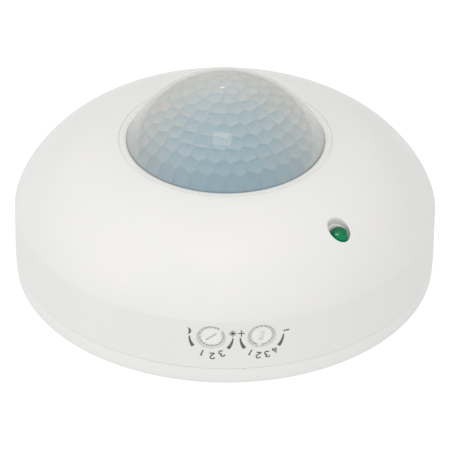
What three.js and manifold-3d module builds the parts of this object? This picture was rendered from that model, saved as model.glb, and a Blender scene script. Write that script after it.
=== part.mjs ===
// Ceiling motion sensor, passive infrared, 360 degree view.
//
// Frame: millimetres. The origin is the middle of the mounting face, the flat underside that lies on
// the ceiling or the conduit box. +Z points out of that face towards the lens dome. -Y is the front,
// where the two trimmer knobs are. Azimuths are in degrees from -Y towards +X.
//
// The head (cover, lens, circuit board, back plate) drops over the base with its three lugs in the
// gates between the base's three bayonet lips, then turns clockwise, seen from the dome side, to
// lock. The model's rest position is the drop-in position.

import * as THREE from 'three';
import { mergeVertices } from 'three/addons/utils/BufferGeometryUtils.js';
import Module from 'manifold-3d';

const wasm = await Module();
wasm.setup();

// ---------- shared dimensions ----------
// A name ending in _Z or _R with two values holds [lower, upper] or [inner, outer].

const RING = 40;                 // facets around the big turned pieces
const SMALL = 16;                // facets around small cylinders
const HOLE = 12;                 // facets around screw holes and knob stems
const PIN = 6;                   // facets around leads and their holes
const CLEAR_Z = [-1, 60];        // heights beyond every piece, for cuts that go right through
const SINK = 0.4;                // how far a joined feature sinks into the plate it stands on
const GAP = 0.1;                 // between stacked parts

const SEAM_R = 57.84;            // where the cover meets the base
const FLOOR = 2.20;              // top of the base's floor

// bayonet
const LUG_AZIMUTHS = [60, 180, 300];
const LUG_HALF = 7;              // degrees
const LUG_R = [53.60, 56.40];
const LUG_Z = [6.00, 7.60];

// screws that hold the head together
const FIX_R = 37.50;             // screw circle
const FIX_AZIMUTHS = [0, 120, 240];
const FIX_CLEARANCE_R = 1.70;

// circuit board
const BOARD_Z = [19.00, 20.60];
const BOARD_R = 49.50;
const ON_BOARD = BOARD_Z[1] + GAP;
const UNDER_BOARD = BOARD_Z[0] - GAP;
const LEAD_END = 17.80;          // leads through the board end at this height
const LEAD_R = 0.25;
const THICK_LEAD_R = 0.35;
const LEAD_HOLE_R = 0.50;
const LEAD_PITCH = 1.27;

// trimmer knobs, one each side of the front
const KNOB_AZIMUTH = 6.5;
const KNOB_Z = 14.40;

// status lamp
const LED_AZIMUTH = 36.6;
const LED_ORBIT = 46.10;
const LED_LEADS = [[-LEAD_PITCH, 0], [LEAD_PITCH, 0]];

// leads of the sensing element, on three corners of a square
const PIR_LEADS = [[-1.8, 1.8], [1.8, 1.8], [1.8, -1.8]];

// ---------- looks ----------

const WHITE = { color: 0xf1f0ec, roughness: 0.42 };
const INNER_WHITE = { color: 0xe9e8e3, roughness: 0.5 };
const KNOB_WHITE = { color: 0xf4f3ef, roughness: 0.4 };
const ROTOR_WHITE = { color: 0xe4e2da, roughness: 0.5 };
const TERMINAL_WHITE = { color: 0xe6e4dc, roughness: 0.5 };
const SPACER_WHITE = { color: 0xdedcd4, roughness: 0.6 };
const LENS = { color: 0xb9c4cb, roughness: 0.22 };
const STEEL = { color: 0xb4b7ba, roughness: 0.35, metalness: 0.9 };
const BRASS = { color: 0xc9a557, roughness: 0.35, metalness: 0.9 };
const GROMMET_GREY = { color: 0x8d9093, roughness: 0.8 };
const SEAL_GREY = { color: 0x4a4c4e, roughness: 0.9 };
const BOARD_GREEN = { color: 0x2f6b45, roughness: 0.45 };
const WINDOW_DARK = { color: 0x2b2a30, roughness: 0.2, metalness: 0.4 };
const PHOTOCELL_ORANGE = { color: 0xc46a3a, roughness: 0.4 };
const LED_GREEN = { color: 0x007a4a, roughness: 0.15 };
const RELAY_BLUE = { color: 0x2d3f78, roughness: 0.4 };
const FILM_YELLOW = { color: 0xd8c23c, roughness: 0.45 };
const SLEEVE_BLACK = { color: 0x23242c, roughness: 0.35 };
const RECTIFIER_BLACK = { color: 0x232427, roughness: 0.5 };
const CHIP_BLACK = { color: 0x1f2023, roughness: 0.5 };
const VARISTOR_BLUE = { color: 0x2b62a8, roughness: 0.4 };
const RESISTOR_GREEN = { color: 0x6f8f6a, roughness: 0.55 };
const TRIMMER_BLUE = { color: 0x2f4f9b, roughness: 0.5 };

// ---------- solids from three.js shapes ----------

// Welds a geometry's vertices, drops its collapsed triangles and turns its faces outwards.
function toSolid(geometry) {
  geometry.deleteAttribute('normal');
  geometry.deleteAttribute('uv');
  const merged = mergeVertices(geometry, 1e-4);
  const position = merged.attributes.position;
  const index = merged.index.array;
  const corners = [new THREE.Vector3(), new THREE.Vector3(), new THREE.Vector3()];
  let triangles = [];
  let volume = 0;
  for (let i = 0; i < index.length; i += 3) {
    const triangle = Array.from(index.slice(i, i + 3));
    if (new Set(triangle).size < 3) continue;
    triangles.push(...triangle);
    corners.forEach((corner, k) => corner.fromBufferAttribute(position, triangle[k]));
    volume += corners[0].dot(corners[1].cross(corners[2]));
  }
  if (volume < 0) triangles = triangles.reverse();
  return new wasm.Manifold(new wasm.Mesh({
    numProp: 3,
    vertProperties: Float32Array.from(position.array),
    triVerts: Uint32Array.from(triangles),
  }));
}

// Closed profile of [radius, height] turned about Z.
function turned(profile, segments = RING) {
  const points = profile.map(([radius, z]) => new THREE.Vector2(radius, z));
  const onAxis = profile[0][0] === 0 && profile[profile.length - 1][0] === 0;
  if (!onAxis) points.push(points[0].clone());
  const geometry = new THREE.LatheGeometry(points, segments);
  geometry.rotateX(Math.PI / 2);
  return toSolid(geometry);
}

function disc(radius, z0, z1, x = 0, y = 0, segments = SMALL) {
  const geometry = new THREE.CylinderGeometry(radius, radius, z1 - z0, segments);
  geometry.rotateX(Math.PI / 2);
  geometry.translate(x, y, (z0 + z1) / 2);
  return toSolid(geometry);
}

function ring([r0, r1], [z0, z1], segments = RING) {
  return turned([[r0, z0], [r1, z0], [r1, z1], [r0, z1]], segments);
}

function box(x0, x1, y0, y1, z0, z1) {
  const geometry = new THREE.BoxGeometry(x1 - x0, y1 - y0, z1 - z0);
  geometry.translate((x0 + x1) / 2, (y0 + y1) / 2, (z0 + z1) / 2);
  return toSolid(geometry);
}

// Box centred on the Z axis.
const centred = (halfX, halfY, z0, z1) => box(-halfX, halfX, -halfY, halfY, z0, z1);

function extruded(shape, z0, z1, curveSegments) {
  const options = { depth: z1 - z0, bevelEnabled: false, curveSegments };
  const geometry = new THREE.ExtrudeGeometry(shape, options);
  geometry.translate(0, 0, z0);
  return toSolid(geometry);
}

const degrees = THREE.MathUtils.degToRad;
const aim = (azimuth) => degrees(azimuth - 90);   // azimuth as an angle from +X

function at(azimuth, radius) {
  return [radius * Math.sin(degrees(azimuth)), -radius * Math.cos(degrees(azimuth))];
}

// Block bent round the Z axis, between two radii and two azimuths.
function arcBlock([r0, r1], middle, half, z0, z1, steps = 4) {
  const shape = new THREE.Shape();
  shape.absarc(0, 0, r1, aim(middle - half), aim(middle + half), false);
  shape.absarc(0, 0, r0, aim(middle + half), aim(middle - half), true);
  shape.closePath();
  return extruded(shape, z0, z1, steps);
}

// Cylinder along the outward direction of an azimuth, from distance r0 to r1, at height z.
function spoke(radius, r0, r1, azimuth, z, segments = SMALL) {
  const geometry = new THREE.CylinderGeometry(radius, radius, r1 - r0, segments);
  geometry.translate(0, -(r0 + r1) / 2, 0);
  geometry.rotateZ(degrees(azimuth));
  geometry.translate(0, 0, z);
  return toSolid(geometry);
}

// Round-ended slot along X.
function slot(x0, x1, width, z0, z1) {
  const half = width / 2;
  const shape = new THREE.Shape();
  shape.absarc(x1 - half, 0, half, -Math.PI / 2, Math.PI / 2, false);
  shape.absarc(x0 + half, 0, half, Math.PI / 2, Math.PI * 1.5, false);
  shape.closePath();
  return extruded(shape, z0, z1, 6);
}

// [radius, height] points of a sphere from just above the start angle up to the pole.
function arcToPole(radius, centreZ, start, steps) {
  const points = [];
  for (let i = 1; i <= steps; i++) {
    const angle = start + (Math.PI / 2 - start) * (i / steps);
    points.push([i === steps ? 0 : radius * Math.cos(angle), centreZ + radius * Math.sin(angle)]);
  }
  return points;
}

const join = (...solids) => solids.reduce((sum, solid) => sum.add(solid));
const cut = (solid, ...tools) => tools.reduce((rest, tool) => rest.subtract(tool), solid);

// Hole cutter through the whole height.
const drill = (radius, x, y, segments) => disc(radius, ...CLEAR_Z, x, y, segments);

const leads = (radius, z0, z1, places) => places.map(([x, y]) => disc(radius, z0, z1, x, y, PIN));
const leadHoles = (places) => leads(LEAD_HOLE_R, ...CLEAR_Z, places);

const fixings = FIX_AZIMUTHS.map((azimuth) => at(azimuth, FIX_R));
const atFixings = (build) => fixings.map(([x, y]) => build(x, y));
const fixingHoles = () => atFixings((x, y) => drill(FIX_CLEARANCE_R, x, y, HOLE));

// ---------- groups and meshes ----------

const sensor = new THREE.Group();
const headGroup = new THREE.Group();
const baseGroup = new THREE.Group();
sensor.add(baseGroup, headGroup);

// Adds a solid to a group as a named mesh, at x, y and turned about Z by degrees.
function piece(group, name, solid, look, { x = 0, y = 0, turn = 0 } = {}) {
  const { vertProperties, triVerts } = solid.getMesh();
  const geometry = new THREE.BufferGeometry();
  const positions = new THREE.BufferAttribute(Float32Array.from(vertProperties), 3);
  geometry.setAttribute('position', positions);
  geometry.setIndex(new THREE.BufferAttribute(Uint32Array.from(triVerts), 1));
  geometry.computeVertexNormals();
  const material = new THREE.MeshStandardMaterial({ metalness: 0, flatShading: true, ...look });
  const mesh = new THREE.Mesh(geometry, material);
  mesh.name = name;
  mesh.position.set(x, y, 0);
  mesh.rotation.z = degrees(turn);
  group.add(mesh);
}

const headPiece = (...details) => piece(headGroup, ...details);

// ---------- base ----------

const BASE_FOOT_R = 57.69;
const BASE_RIM_TOP = 4.70;
const RIM_IN = 55.55;
const SPIGOT_R = [51.40, 53.20];
const SPIGOT_TOP = 9.40;
const CABLE_HOLE_R = 9.00;
const CABLE_COLLAR_R = [CABLE_HOLE_R - 0.6, CABLE_HOLE_R + 1.6];
const CABLE_COLLAR_HEIGHT = 1.20;
const CABLE_FACETS = 32;
const SLOT_REACH = [21.80, 33.80];   // fixing slots, from and to, along +X and -X
const SLOT_WIDTH = 4.60;
const RECESS_MARGIN = 2.40;          // of the screw-head recess round each slot
const RECESS_DEPTH = 0.80;
const LIP_OFFSET = -20;              // degrees from the lug at rest to the lip's middle
const LIP_HALF = 9;
const LIP_R = [SPIGOT_R[1] - 0.8, 55.10];
const LIP_Z = [8.00, 9.40];
const STOP_OFFSET = -29.5;           // end stop for the lug
const STOP_HALF = 1.2;

function basePlate() {
  const plate = turned([
    [0, 0], [BASE_FOOT_R, 0], [BASE_FOOT_R + 0.06, 2.0], [SEAM_R - 0.02, BASE_RIM_TOP],
    [RIM_IN, BASE_RIM_TOP], [RIM_IN, FLOOR], [0, FLOOR],
  ]);
  const foot = FLOOR - SINK;
  const bayonet = LUG_AZIMUTHS.flatMap((lug) => [
    arcBlock(LIP_R, lug + LIP_OFFSET, LIP_HALF, ...LIP_Z),
    arcBlock(LIP_R, lug + STOP_OFFSET, STOP_HALF, foot, LIP_Z[1], 1),
  ]);
  const body = join(
    plate,
    ring(SPIGOT_R, [foot, SPIGOT_TOP]),
    ...bayonet,
    ring(CABLE_COLLAR_R, [foot, FLOOR + CABLE_COLLAR_HEIGHT], CABLE_FACETS),
  );
  const [near, far] = SLOT_REACH;
  const slots = [[near, far], [-far, -near]].flatMap(([x0, x1]) => [
    slot(x0, x1, SLOT_WIDTH, ...CLEAR_Z),
    slot(
      x0 - RECESS_MARGIN, x1 + RECESS_MARGIN, SLOT_WIDTH + 2 * RECESS_MARGIN,
      FLOOR - RECESS_DEPTH, CLEAR_Z[1],
    ),
  ]);
  return cut(body, drill(CABLE_HOLE_R, 0, 0, CABLE_FACETS), ...slots);
}
piece(baseGroup, 'base_plate', basePlate(), WHITE);

// grooved ring snapped into the cable hole, with a thin pierced web; [radius, height]
const GROMMET = [
  [3.4, 1.3], [6.6, 1.3], [7.4, 0.4], [8.75, 0.4], [8.75, 3.65],
  [10.6, 3.65], [10.6, 4.45], [7.4, 4.45], [6.8, 2.1], [3.4, 2.1],
];
piece(baseGroup, 'cable_grommet', turned(GROMMET, 24), GROMMET_GREY);

// dust seal between base floor and back plate
const SEAL_R = [46.60, 49.40];
const SEAL_Z = [2.40, 4.60];
piece(baseGroup, 'dust_seal_ring', ring(SEAL_R, SEAL_Z), SEAL_GREY);

// ---------- cover ----------

const OPENING_R = 28.75;         // round hole for the bezel
const CROWN_Z = [36.85, 38.88];  // skin at the edge of the opening
const COVER_FOOT = 4.93;
const INSIDE_R = 55.60;          // at the foot
const INSIDE_START = 3.00;       // the hollow starts below the cover's foot
// [radius, height], from the foot up
const COVER_OUTSIDE = [
  [SEAM_R, COVER_FOOT], [57.50, 19.38], [57.05, 20.55], [55.50, 23.72], [54.00, 25.83],
  [52.00, 28.37], [49.50, 30.85], [46.00, 33.57], [42.00, 35.93], [37.00, 37.64],
  [32.00, 38.65], [OPENING_R, CROWN_Z[1]],
];
// [radius, height], from the opening down
const COVER_INSIDE = [
  [OPENING_R, CROWN_Z[0]], [32.40, 36.60], [37.00, 35.50], [43.00, 32.70], [48.20, 28.80],
  [52.40, 24.00], [55.20, 18.60], [INSIDE_R, COVER_FOOT],
];

// collar round the bezel, lens and retainer flanges
const COLLAR_R = [31.20, 32.60];
const COLLAR_Z = [30.50, 37.40];

// screw bosses and their blind holes
const BOSS_R = 3.20;
const BOSS_Z = [20.90, 37.00];
const PILOT_R = 1.60;
const PILOT_TOP = 31.50;

// lamp tube: a wide bore through the skin, a narrower one below that guides the lamp
const LED_BORE_R = 2.95;
const LED_GUIDE_R = 2.40;
const LED_STEP_Z = 30.30;
const LED_TUBE_R = 3.95;
const LED_TUBE_Z = [26.30, 36.00];

const KNOB_HOLE_R = 3.40;
const KNOB_HOLE_REACH = [50, 60];

const [ledX, ledY] = at(LED_AZIMUTH, LED_ORBIT);

function coverShell() {
  const outside = turned([[0, COVER_FOOT], ...COVER_OUTSIDE, [0, CROWN_Z[1]]]);
  const hollow = turned([
    [0, CROWN_Z[0]], ...COVER_INSIDE, [INSIDE_R, INSIDE_START], [0, INSIDE_START],
  ]);
  const fittings = join(
    ring(COLLAR_R, COLLAR_Z),
    disc(LED_TUBE_R, ...LED_TUBE_Z, ledX, ledY),
    ...atFixings((x, y) => disc(BOSS_R, ...BOSS_Z, x, y)),
    ...LUG_AZIMUTHS.map((azimuth) => arcBlock(LUG_R, azimuth, LUG_HALF, ...LUG_Z)),
  );
  // trimmed to the outside, since the lamp tube would stand out of the sloping skin
  const shell = join(cut(outside, hollow), fittings.intersect(outside));
  return cut(
    shell,
    drill(OPENING_R, 0, 0, RING),
    disc(LED_BORE_R, LED_STEP_Z, CLEAR_Z[1], ledX, ledY),
    drill(LED_GUIDE_R, ledX, ledY),
    spoke(KNOB_HOLE_R, ...KNOB_HOLE_REACH, -KNOB_AZIMUTH, KNOB_Z),
    spoke(KNOB_HOLE_R, ...KNOB_HOLE_REACH, KNOB_AZIMUTH, KNOB_Z),
    ...atFixings((x, y) => disc(PILOT_R, BOSS_Z[0] - 1, PILOT_TOP, x, y, HOLE)),
  );
}
headPiece('cover_shell', coverShell(), WHITE);

// ---------- lens group ----------

const BEZEL_R = [26.95, 28.60];
const BEZEL_TOP_Z = [38.45, 38.84];   // at the inner and outer edge
const BEZEL_FLANGE_R = 30.90;
const BEZEL_FLANGE_Z = [34.40, 36.45];

const DOME_R = 29.20;            // sphere radius
const DOME_CENTRE_Z = 27.00;
const DOME_NECK_R = 26.70;       // straight neck that goes down through the bezel
const DOME_EDGE_Z = 38.80;       // where the sphere meets the neck
const NECK_INNER_TOP = 37.90;
const DOME_STEPS = 7;
const LENS_WALL = 0.90;
const LENS_FLANGE_R = 30.80;
const LENS_FLANGE_Z = [32.70, 34.20];

// retainer behind the lens flange
const RETAINER_R = [28.00, 30.95];
const RETAINER_Z = [30.70, 32.45];

function lensBezel() {
  const [inner, outer] = BEZEL_R;
  const [innerTop, outerTop] = BEZEL_TOP_Z;
  const [flangeFoot, flangeTop] = BEZEL_FLANGE_Z;
  return turned([
    [inner, flangeFoot], [BEZEL_FLANGE_R, flangeFoot],
    [BEZEL_FLANGE_R, flangeTop], [outer, flangeTop],
    [outer, outerTop - 0.1], [outer - 0.12, outerTop],
    [inner + 0.1, innerTop], [inner, innerTop - 0.12],
  ]);
}
headPiece('lens_bezel', lensBezel(), WHITE);

function lensDome() {
  const start = Math.asin((DOME_EDGE_Z - DOME_CENTRE_Z) / DOME_R);
  const sphere = (radius) => arcToPole(radius, DOME_CENTRE_Z, start, DOME_STEPS);
  const neckIn = DOME_NECK_R - LENS_WALL;
  const [flangeFoot, flangeTop] = LENS_FLANGE_Z;
  return turned([
    ...sphere(DOME_R - LENS_WALL).reverse(),
    [neckIn, NECK_INNER_TOP], [neckIn, flangeFoot],
    [LENS_FLANGE_R, flangeFoot], [LENS_FLANGE_R, flangeTop],
    [DOME_NECK_R, flangeTop], [DOME_NECK_R, DOME_EDGE_Z],
    ...sphere(DOME_R),
  ]);
}
headPiece('lens_dome', lensDome(), LENS);

headPiece('lens_retainer', ring(RETAINER_R, RETAINER_Z), INNER_WHITE);

// ---------- back plate and head screws ----------

const BACK_Z = [5.00, 6.20];
const BACK_R = 50.60;
const BACK_LIP_R = 49.20;
const BACK_LIP_TOP = 8.40;
const POST = { radius: 3.20, z0: 9.50, z1: 18.75 };
const POST_FOOT = { radius: 4.30, top: 10.00 };
const HEAD_POCKET = { radius: 3.00, top: 8.20 };
// wiring well over the cable hole
const WELL = { x: 11.5, y0: -11.5, y1: 24.5, wall: 1.2, top: 18.60 };

function backPlate() {
  const [bottom, top] = BACK_Z;
  const plate = turned([
    [0, bottom], [BACK_R, bottom], [BACK_R, BACK_LIP_TOP],
    [BACK_LIP_R, BACK_LIP_TOP], [BACK_LIP_R, top], [0, top],
  ]);
  const { x: wellX, y0, y1, wall } = WELL;
  const foot = bottom + SINK;
  const body = join(
    plate,
    box(-wellX - wall, wellX + wall, y0 - wall, y1 + wall, foot, WELL.top),
    ...atFixings((x, y) => disc(POST_FOOT.radius, foot, POST_FOOT.top, x, y)),
    ...atFixings((x, y) => disc(POST.radius, POST.z0, POST.z1, x, y)),
  );
  return cut(
    body,
    box(-wellX, wellX, y0, y1, ...CLEAR_Z),
    ...atFixings((x, y) => disc(HEAD_POCKET.radius, 0, HEAD_POCKET.top, x, y)),
    ...fixingHoles(),
  );
}
headPiece('back_plate', backPlate(), INNER_WHITE);

const SCREW = { shank: 1.30, head: 2.60, headZ: [5.75, 8.00], chamferZ: 6.40, tipZ: [29.2, 30.4] };
const CROSS = { long: 1.5, wide: 0.35, z: [5.0, 6.9] };   // half length, half width, heights

// Pan head with a cross recess, driven from the ceiling side.
function headScrew() {
  const { shank, head, headZ, chamferZ, tipZ } = SCREW;
  const body = turned([
    [0, headZ[0]], [head - 0.4, headZ[0]], [head, chamferZ], [head, headZ[1]],
    [shank, headZ[1]], [shank, tipZ[0]], [0, tipZ[1]],
  ], SMALL);
  const { long, wide, z } = CROSS;
  return cut(body, centred(long, wide, ...z), centred(wide, long, ...z));
}
FIX_AZIMUTHS.forEach((azimuth, i) => {
  const [x, y] = fixings[i];
  headPiece(`head_screw_${i + 1}`, headScrew(), STEEL, { x, y, turn: azimuth });
});

// ---------- circuit board ----------

const board = cut(
  disc(BOARD_R, ...BOARD_Z, 0, 0, RING),
  ...fixingHoles(),
  ...leadHoles(PIR_LEADS),
  ...leadHoles(LED_LEADS.map(([x, y]) => [ledX + x, ledY + y])),
);
headPiece('circuit_board', board, BOARD_GREEN);

// ---------- sensing element under the middle of the dome ----------

const PIR_FOOT = 23.40;
const PIR_TOP = 27.70;
const PIR_SPACER_R = 4.70;

headPiece(
  'pir_spacer',
  cut(disc(PIR_SPACER_R, ON_BOARD, PIR_FOOT - GAP), ...leadHoles(PIR_LEADS)),
  SPACER_WHITE,
);

function pirCan() {
  const can = turned([
    [0, PIR_FOOT], [4.6, PIR_FOOT], [4.6, PIR_FOOT + 0.5], [4.1, PIR_FOOT + 0.5],
    [4.1, PIR_TOP - 0.2], [3.9, PIR_TOP], [0, PIR_TOP],
  ], 24);
  const windowSeat = centred(2.0, 1.5, PIR_TOP - 0.5, PIR_TOP + 0.8);
  return join(cut(can, windowSeat), ...leads(LEAD_R, LEAD_END, PIR_FOOT + 0.2, PIR_LEADS));
}
headPiece('pir_sensor', pirCan(), STEEL);
headPiece('pir_window', centred(1.9, 1.4, PIR_TOP - 0.4, PIR_TOP + 0.05), WINDOW_DARK);

// photocell beside it, drawn in place
const PHOTOCELL = { x: 11.0, y: -7.0, radius: 2.5, z: [22.6, 24.6], leadHalf: 1.1 };

function photocell() {
  const { x, y, radius, z, leadHalf } = PHOTOCELL;
  const places = [[x - leadHalf, y], [x + leadHalf, y]];
  return join(disc(radius, ...z, x, y), ...leads(LEAD_R, ON_BOARD, z[0] + 0.2, places));
}
headPiece('photocell', photocell(), PHOTOCELL_ORANGE);

// ---------- status lamp ----------

const LED_SEAT = 25.00;          // underside of the lamp's flange
const LED_TOP = 33.66;
const LED_R = 2.20;
const LED_FLANGE_R = 2.60;
const LED_FLANGE_HEIGHT = 1.00;
const LED_SPACER_R = 2.50;
const ledPlace = { x: ledX, y: ledY };

headPiece(
  'led_spacer',
  cut(disc(LED_SPACER_R, ON_BOARD, LED_SEAT - GAP), ...leadHoles(LED_LEADS)),
  SPACER_WHITE,
  ledPlace,
);

function statusLed() {
  const flangeTop = LED_SEAT + LED_FLANGE_HEIGHT;
  const domeFoot = LED_TOP - LED_R;
  const body = turned([
    [0, LED_SEAT], [LED_FLANGE_R, LED_SEAT], [LED_FLANGE_R, flangeTop], [LED_R, flangeTop],
    [LED_R, domeFoot], ...arcToPole(LED_R, domeFoot, 0, 4),
  ], SMALL);
  return join(body, ...leads(LEAD_R, LEAD_END, LED_SEAT + 0.2, LED_LEADS));
}
headPiece('status_led', statusLed(), LED_GREEN, ledPlace);

// ---------- components on the ceiling side of the board ----------
// Each is drawn about its own vertical axis and then placed.

const relay = join(
  centred(14.25, 5.05, 6.75, UNDER_BOARD - 0.3),
  centred(13.6, 4.4, UNDER_BOARD - 0.4, UNDER_BOARD),
);
headPiece('power_relay', relay, RELAY_BLUE, { x: 19.6, y: 12.0, turn: 90 });

const filmCapacitor = centred(9.0, 3.0, 7.2, UNDER_BOARD);
headPiece('film_capacitor', filmCapacitor, FILM_YELLOW, { x: -20.5, y: 14.0, turn: 90 });

// Can with a chamfered end and a V groove round it near the board.
function canCapacitor({ radius, end, chamfer, grooveZ, grooveHalf, grooveDepth, segments }) {
  return turned([
    [0, end], [radius - chamfer, end], [radius, end + chamfer],
    [radius, grooveZ - grooveHalf], [radius - grooveDepth, grooveZ], [radius, grooveZ + grooveHalf],
    [radius, UNDER_BOARD], [0, UNDER_BOARD],
  ], segments);
}
const reservoir = canCapacitor({
  radius: 5.0, end: 7.4, chamfer: 0.6,
  grooveZ: 17.4, grooveHalf: 0.4, grooveDepth: 0.3, segments: 20,
});
headPiece('reservoir_capacitor', reservoir, SLEEVE_BLACK, { x: -31.5, y: 7.5 });
const timing = canCapacitor({
  radius: 2.5, end: 8.0, chamfer: 0.3,
  grooveZ: 17.7, grooveHalf: 0.3, grooveDepth: 0.2, segments: SMALL,
});
headPiece('timing_capacitor', timing, SLEEVE_BLACK, { x: -24.0, y: -20.0 });

// block with a notch in its +X side
const rectifier = cut(centred(3.3, 4.3, 15.2, UNDER_BOARD), box(2.6, 4.0, -0.6, 0.6, 15.0, 15.9));
headPiece('bridge_rectifier', rectifier, RECTIFIER_BLACK, { x: -32.0, y: -8.5 });

// disc on edge, its axis along Y
const varistor = join(
  spoke(4.5, -1.8, 1.8, 0, 12.9, 20),
  ...leads(THICK_LEAD_R, 15.0, UNDER_BOARD, [[-2.5, 0], [2.5, 0]]),
);
headPiece('surge_varistor', varistor, VARISTOR_BLUE, { x: -6.0, y: 34.0 });

// lying cylinder, its own axis along X
const fuseResistor = join(
  spoke(1.9, -5.0, 5.0, 90, 16.2),
  ...leads(THICK_LEAD_R, 16.4, UNDER_BOARD, [[-4.4, 0], [4.4, 0]]),
);
headPiece('fuse_resistor', fuseResistor, RESISTOR_GREEN, { x: 10.5, y: 33.0, turn: -20 });

// body, wider block for the rows of legs, and a round notch at one end
const controlIc = cut(
  join(centred(3.2, 9.4, 15.4, 18.3), centred(3.9, 8.9, 16.8, UNDER_BOARD)),
  disc(0.9, 14, 15.9, 0, 9.4, 8),
);
headPiece('control_ic', controlIc, CHIP_BLACK, { x: 0, y: -21.5, turn: 90 });

// round body with one flat side
const regulator = join(
  cut(disc(2.4, 12.6, 17.2), box(-3, 3, 1.4, 3, 12, 18)),
  ...leads(LEAD_R, 17.0, UNDER_BOARD, [[-LEAD_PITCH, 0], [0, 0], [LEAD_PITCH, 0]]),
);
headPiece('voltage_regulator', regulator, CHIP_BLACK, { x: 21.0, y: -20.0, turn: 180 });

// ---------- trimmers and knobs ----------

const POT = { r0: 45.4, r1: 50.2, half: 4.75, z0: 9.90, z1: 18.85, bore: 3.00 };
const KNOB_R = 2.93;
const KNOB_BACK = 55.00;         // how far out the cap starts
const KNOB_FACE = 57.10;         // and ends
const KNOB_TEETH = 18;
const TOOTH_DEPTH = 0.22;
const KNOB_STEM_R = 1.50;
const KNOB_FLANGE = { radius: 3.20, face: 56.45 };
const POINTER = { reach: 3.25, half: 0.68, chamfer: 0.22, tipHalf: 0.45 };
const DRIVER_SLOT_DEPTH = 0.30;

function serratedOutline() {
  const points = [];
  for (let i = 0; i < KNOB_TEETH * 2; i++) {
    const angle = (i / (KNOB_TEETH * 2)) * Math.PI * 2;
    const radius = i % 2 ? KNOB_R - TOOTH_DEPTH : KNOB_R;
    points.push(new THREE.Vector2(radius * Math.cos(angle), radius * Math.sin(angle)));
  }
  return new THREE.Shape(points);
}

function pointerOutline() {
  const { reach, half, chamfer, tipHalf } = POINTER;
  const corners = [
    [reach, tipHalf], [reach - chamfer, half], [0, half],
    [0, -half], [reach - chamfer, -half], [reach, -tipHalf],
  ];
  return new THREE.Shape(corners.map(([x, y]) => new THREE.Vector2(x, y)));
}

// Serrated cap with a flange, a pointer tab and a screwdriver slot, on a stem.
function knob(pointer, [long, wide]) {
  const tab = extruded(pointerOutline(), KNOB_FLANGE.face - 0.2, KNOB_FACE, 1);
  const driverSlot = centred(long, wide, KNOB_FACE - DRIVER_SLOT_DEPTH, KNOB_FACE + 1);
  const body = join(
    extruded(serratedOutline(), KNOB_BACK, KNOB_FACE, 1),
    disc(KNOB_FLANGE.radius, KNOB_BACK, KNOB_FLANGE.face),
    disc(KNOB_STEM_R, POT.r0 + 0.4, KNOB_BACK + 0.2, 0, 0, HOLE),
    tab.rotate([0, 0, pointer]),
  );
  return cut(body, driverSlot.rotate([0, 0, pointer]));
}

// pointer: degrees from +X at the front, counter-clockwise seen from outside
// slot: half length and half width of the screwdriver slot
function trimmer({ name, azimuth, pointer, slot: slotHalves }) {
  const { r0, r1, half, z0, z1, bore } = POT;
  const body = cut(box(-half, half, -r1, -r0, z0, z1), spoke(bore, r0 - 1, r1 + 1, 0, KNOB_Z));
  headPiece(`${name}_trimmer`, body, TRIMMER_BLUE, { turn: azimuth });

  // parts that turn are drawn about their own axis and then laid along the spoke
  const lay = (solid) => solid
    .rotate([90, 0, 0])
    .rotate([0, 0, azimuth])
    .translate([0, 0, KNOB_Z]);
  const rotor = cut(
    disc(bore - 0.15, r0 + 0.2, r1 - 0.2),
    drill(KNOB_STEM_R + 0.12, 0, 0, HOLE),
  );
  headPiece(`${name}_trimmer_rotor`, lay(rotor), ROTOR_WHITE);
  headPiece(`${name}_knob`, lay(knob(pointer, slotHalves)), KNOB_WHITE);
}
trimmer({ name: 'lux', azimuth: -KNOB_AZIMUTH, pointer: 38.5, slot: [1.75, 0.32] });
trimmer({ name: 'time', azimuth: KNOB_AZIMUTH, pointer: -100, slot: [1.45, 0.58] });

// ---------- three-pole terminal block, wire entries facing the cable hole ----------

const POLE_PITCH = 5.08;
const POLES_X = [-POLE_PITCH, 0, POLE_PITCH];
const TERMINAL = { y0: 12.2, y1: 22.4, z0: 5.60, z1: 18.85, half: 8.0 };
const TERMINAL_Y = 17.4;         // row of screws
const CAGE = { halfX: 1.75, halfY: 2.8, z0: 9.40, z1: 15.60 };

function terminalBlock() {
  const { y0, y1, z0, z1, half } = TERMINAL;
  const cavities = POLES_X.flatMap((x) => [
    box(x - 2.05, x + 2.05, y0 + 2.0, y1 - 1.9, 8.9, 17.9),   // cage chamber
    box(x - 1.7, x + 1.7, y0 - 1, y0 + 2.4, 12.0, 17.2),      // wire entry
    disc(2.0, 0, 9.2, x, TERMINAL_Y),                         // screw access
  ]);
  return cut(box(-half, half, y0, y1, z0, z1), ...cavities);
}
headPiece('terminal_block', terminalBlock(), TERMINAL_WHITE);

// Slotted screw, head towards the ceiling.
function terminalScrew() {
  const body = turned([
    [0, 6.2], [1.8, 6.2], [1.8, 8.4], [1.05, 8.4], [1.05, 12.6], [0, 12.6],
  ], SMALL);
  return cut(body, centred(2, 0.3, 5, 7.0));
}

function clampCage() {
  const { halfX, halfY, z0, z1 } = CAGE;
  return cut(
    centred(halfX, halfY, z0, z1),
    centred(halfX - 0.45, 4, z0 + 1.2, z1 - 0.7),   // wire opening, right through along Y
    disc(1.25, 5, z0 + 2, 0, 0, HOLE),              // screw hole
  );
}

POLES_X.forEach((x, i) => {
  headPiece(`terminal_screw_${i + 1}`, terminalScrew(), STEEL, { x, y: TERMINAL_Y });
  headPiece(`clamp_cage_${i + 1}`, clampCage(), BRASS, { x, y: TERMINAL_Y });
});

export default sensor;
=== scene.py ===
import math

import bmesh
import bpy
import numpy as np
from mathutils import Matrix, Vector

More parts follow.
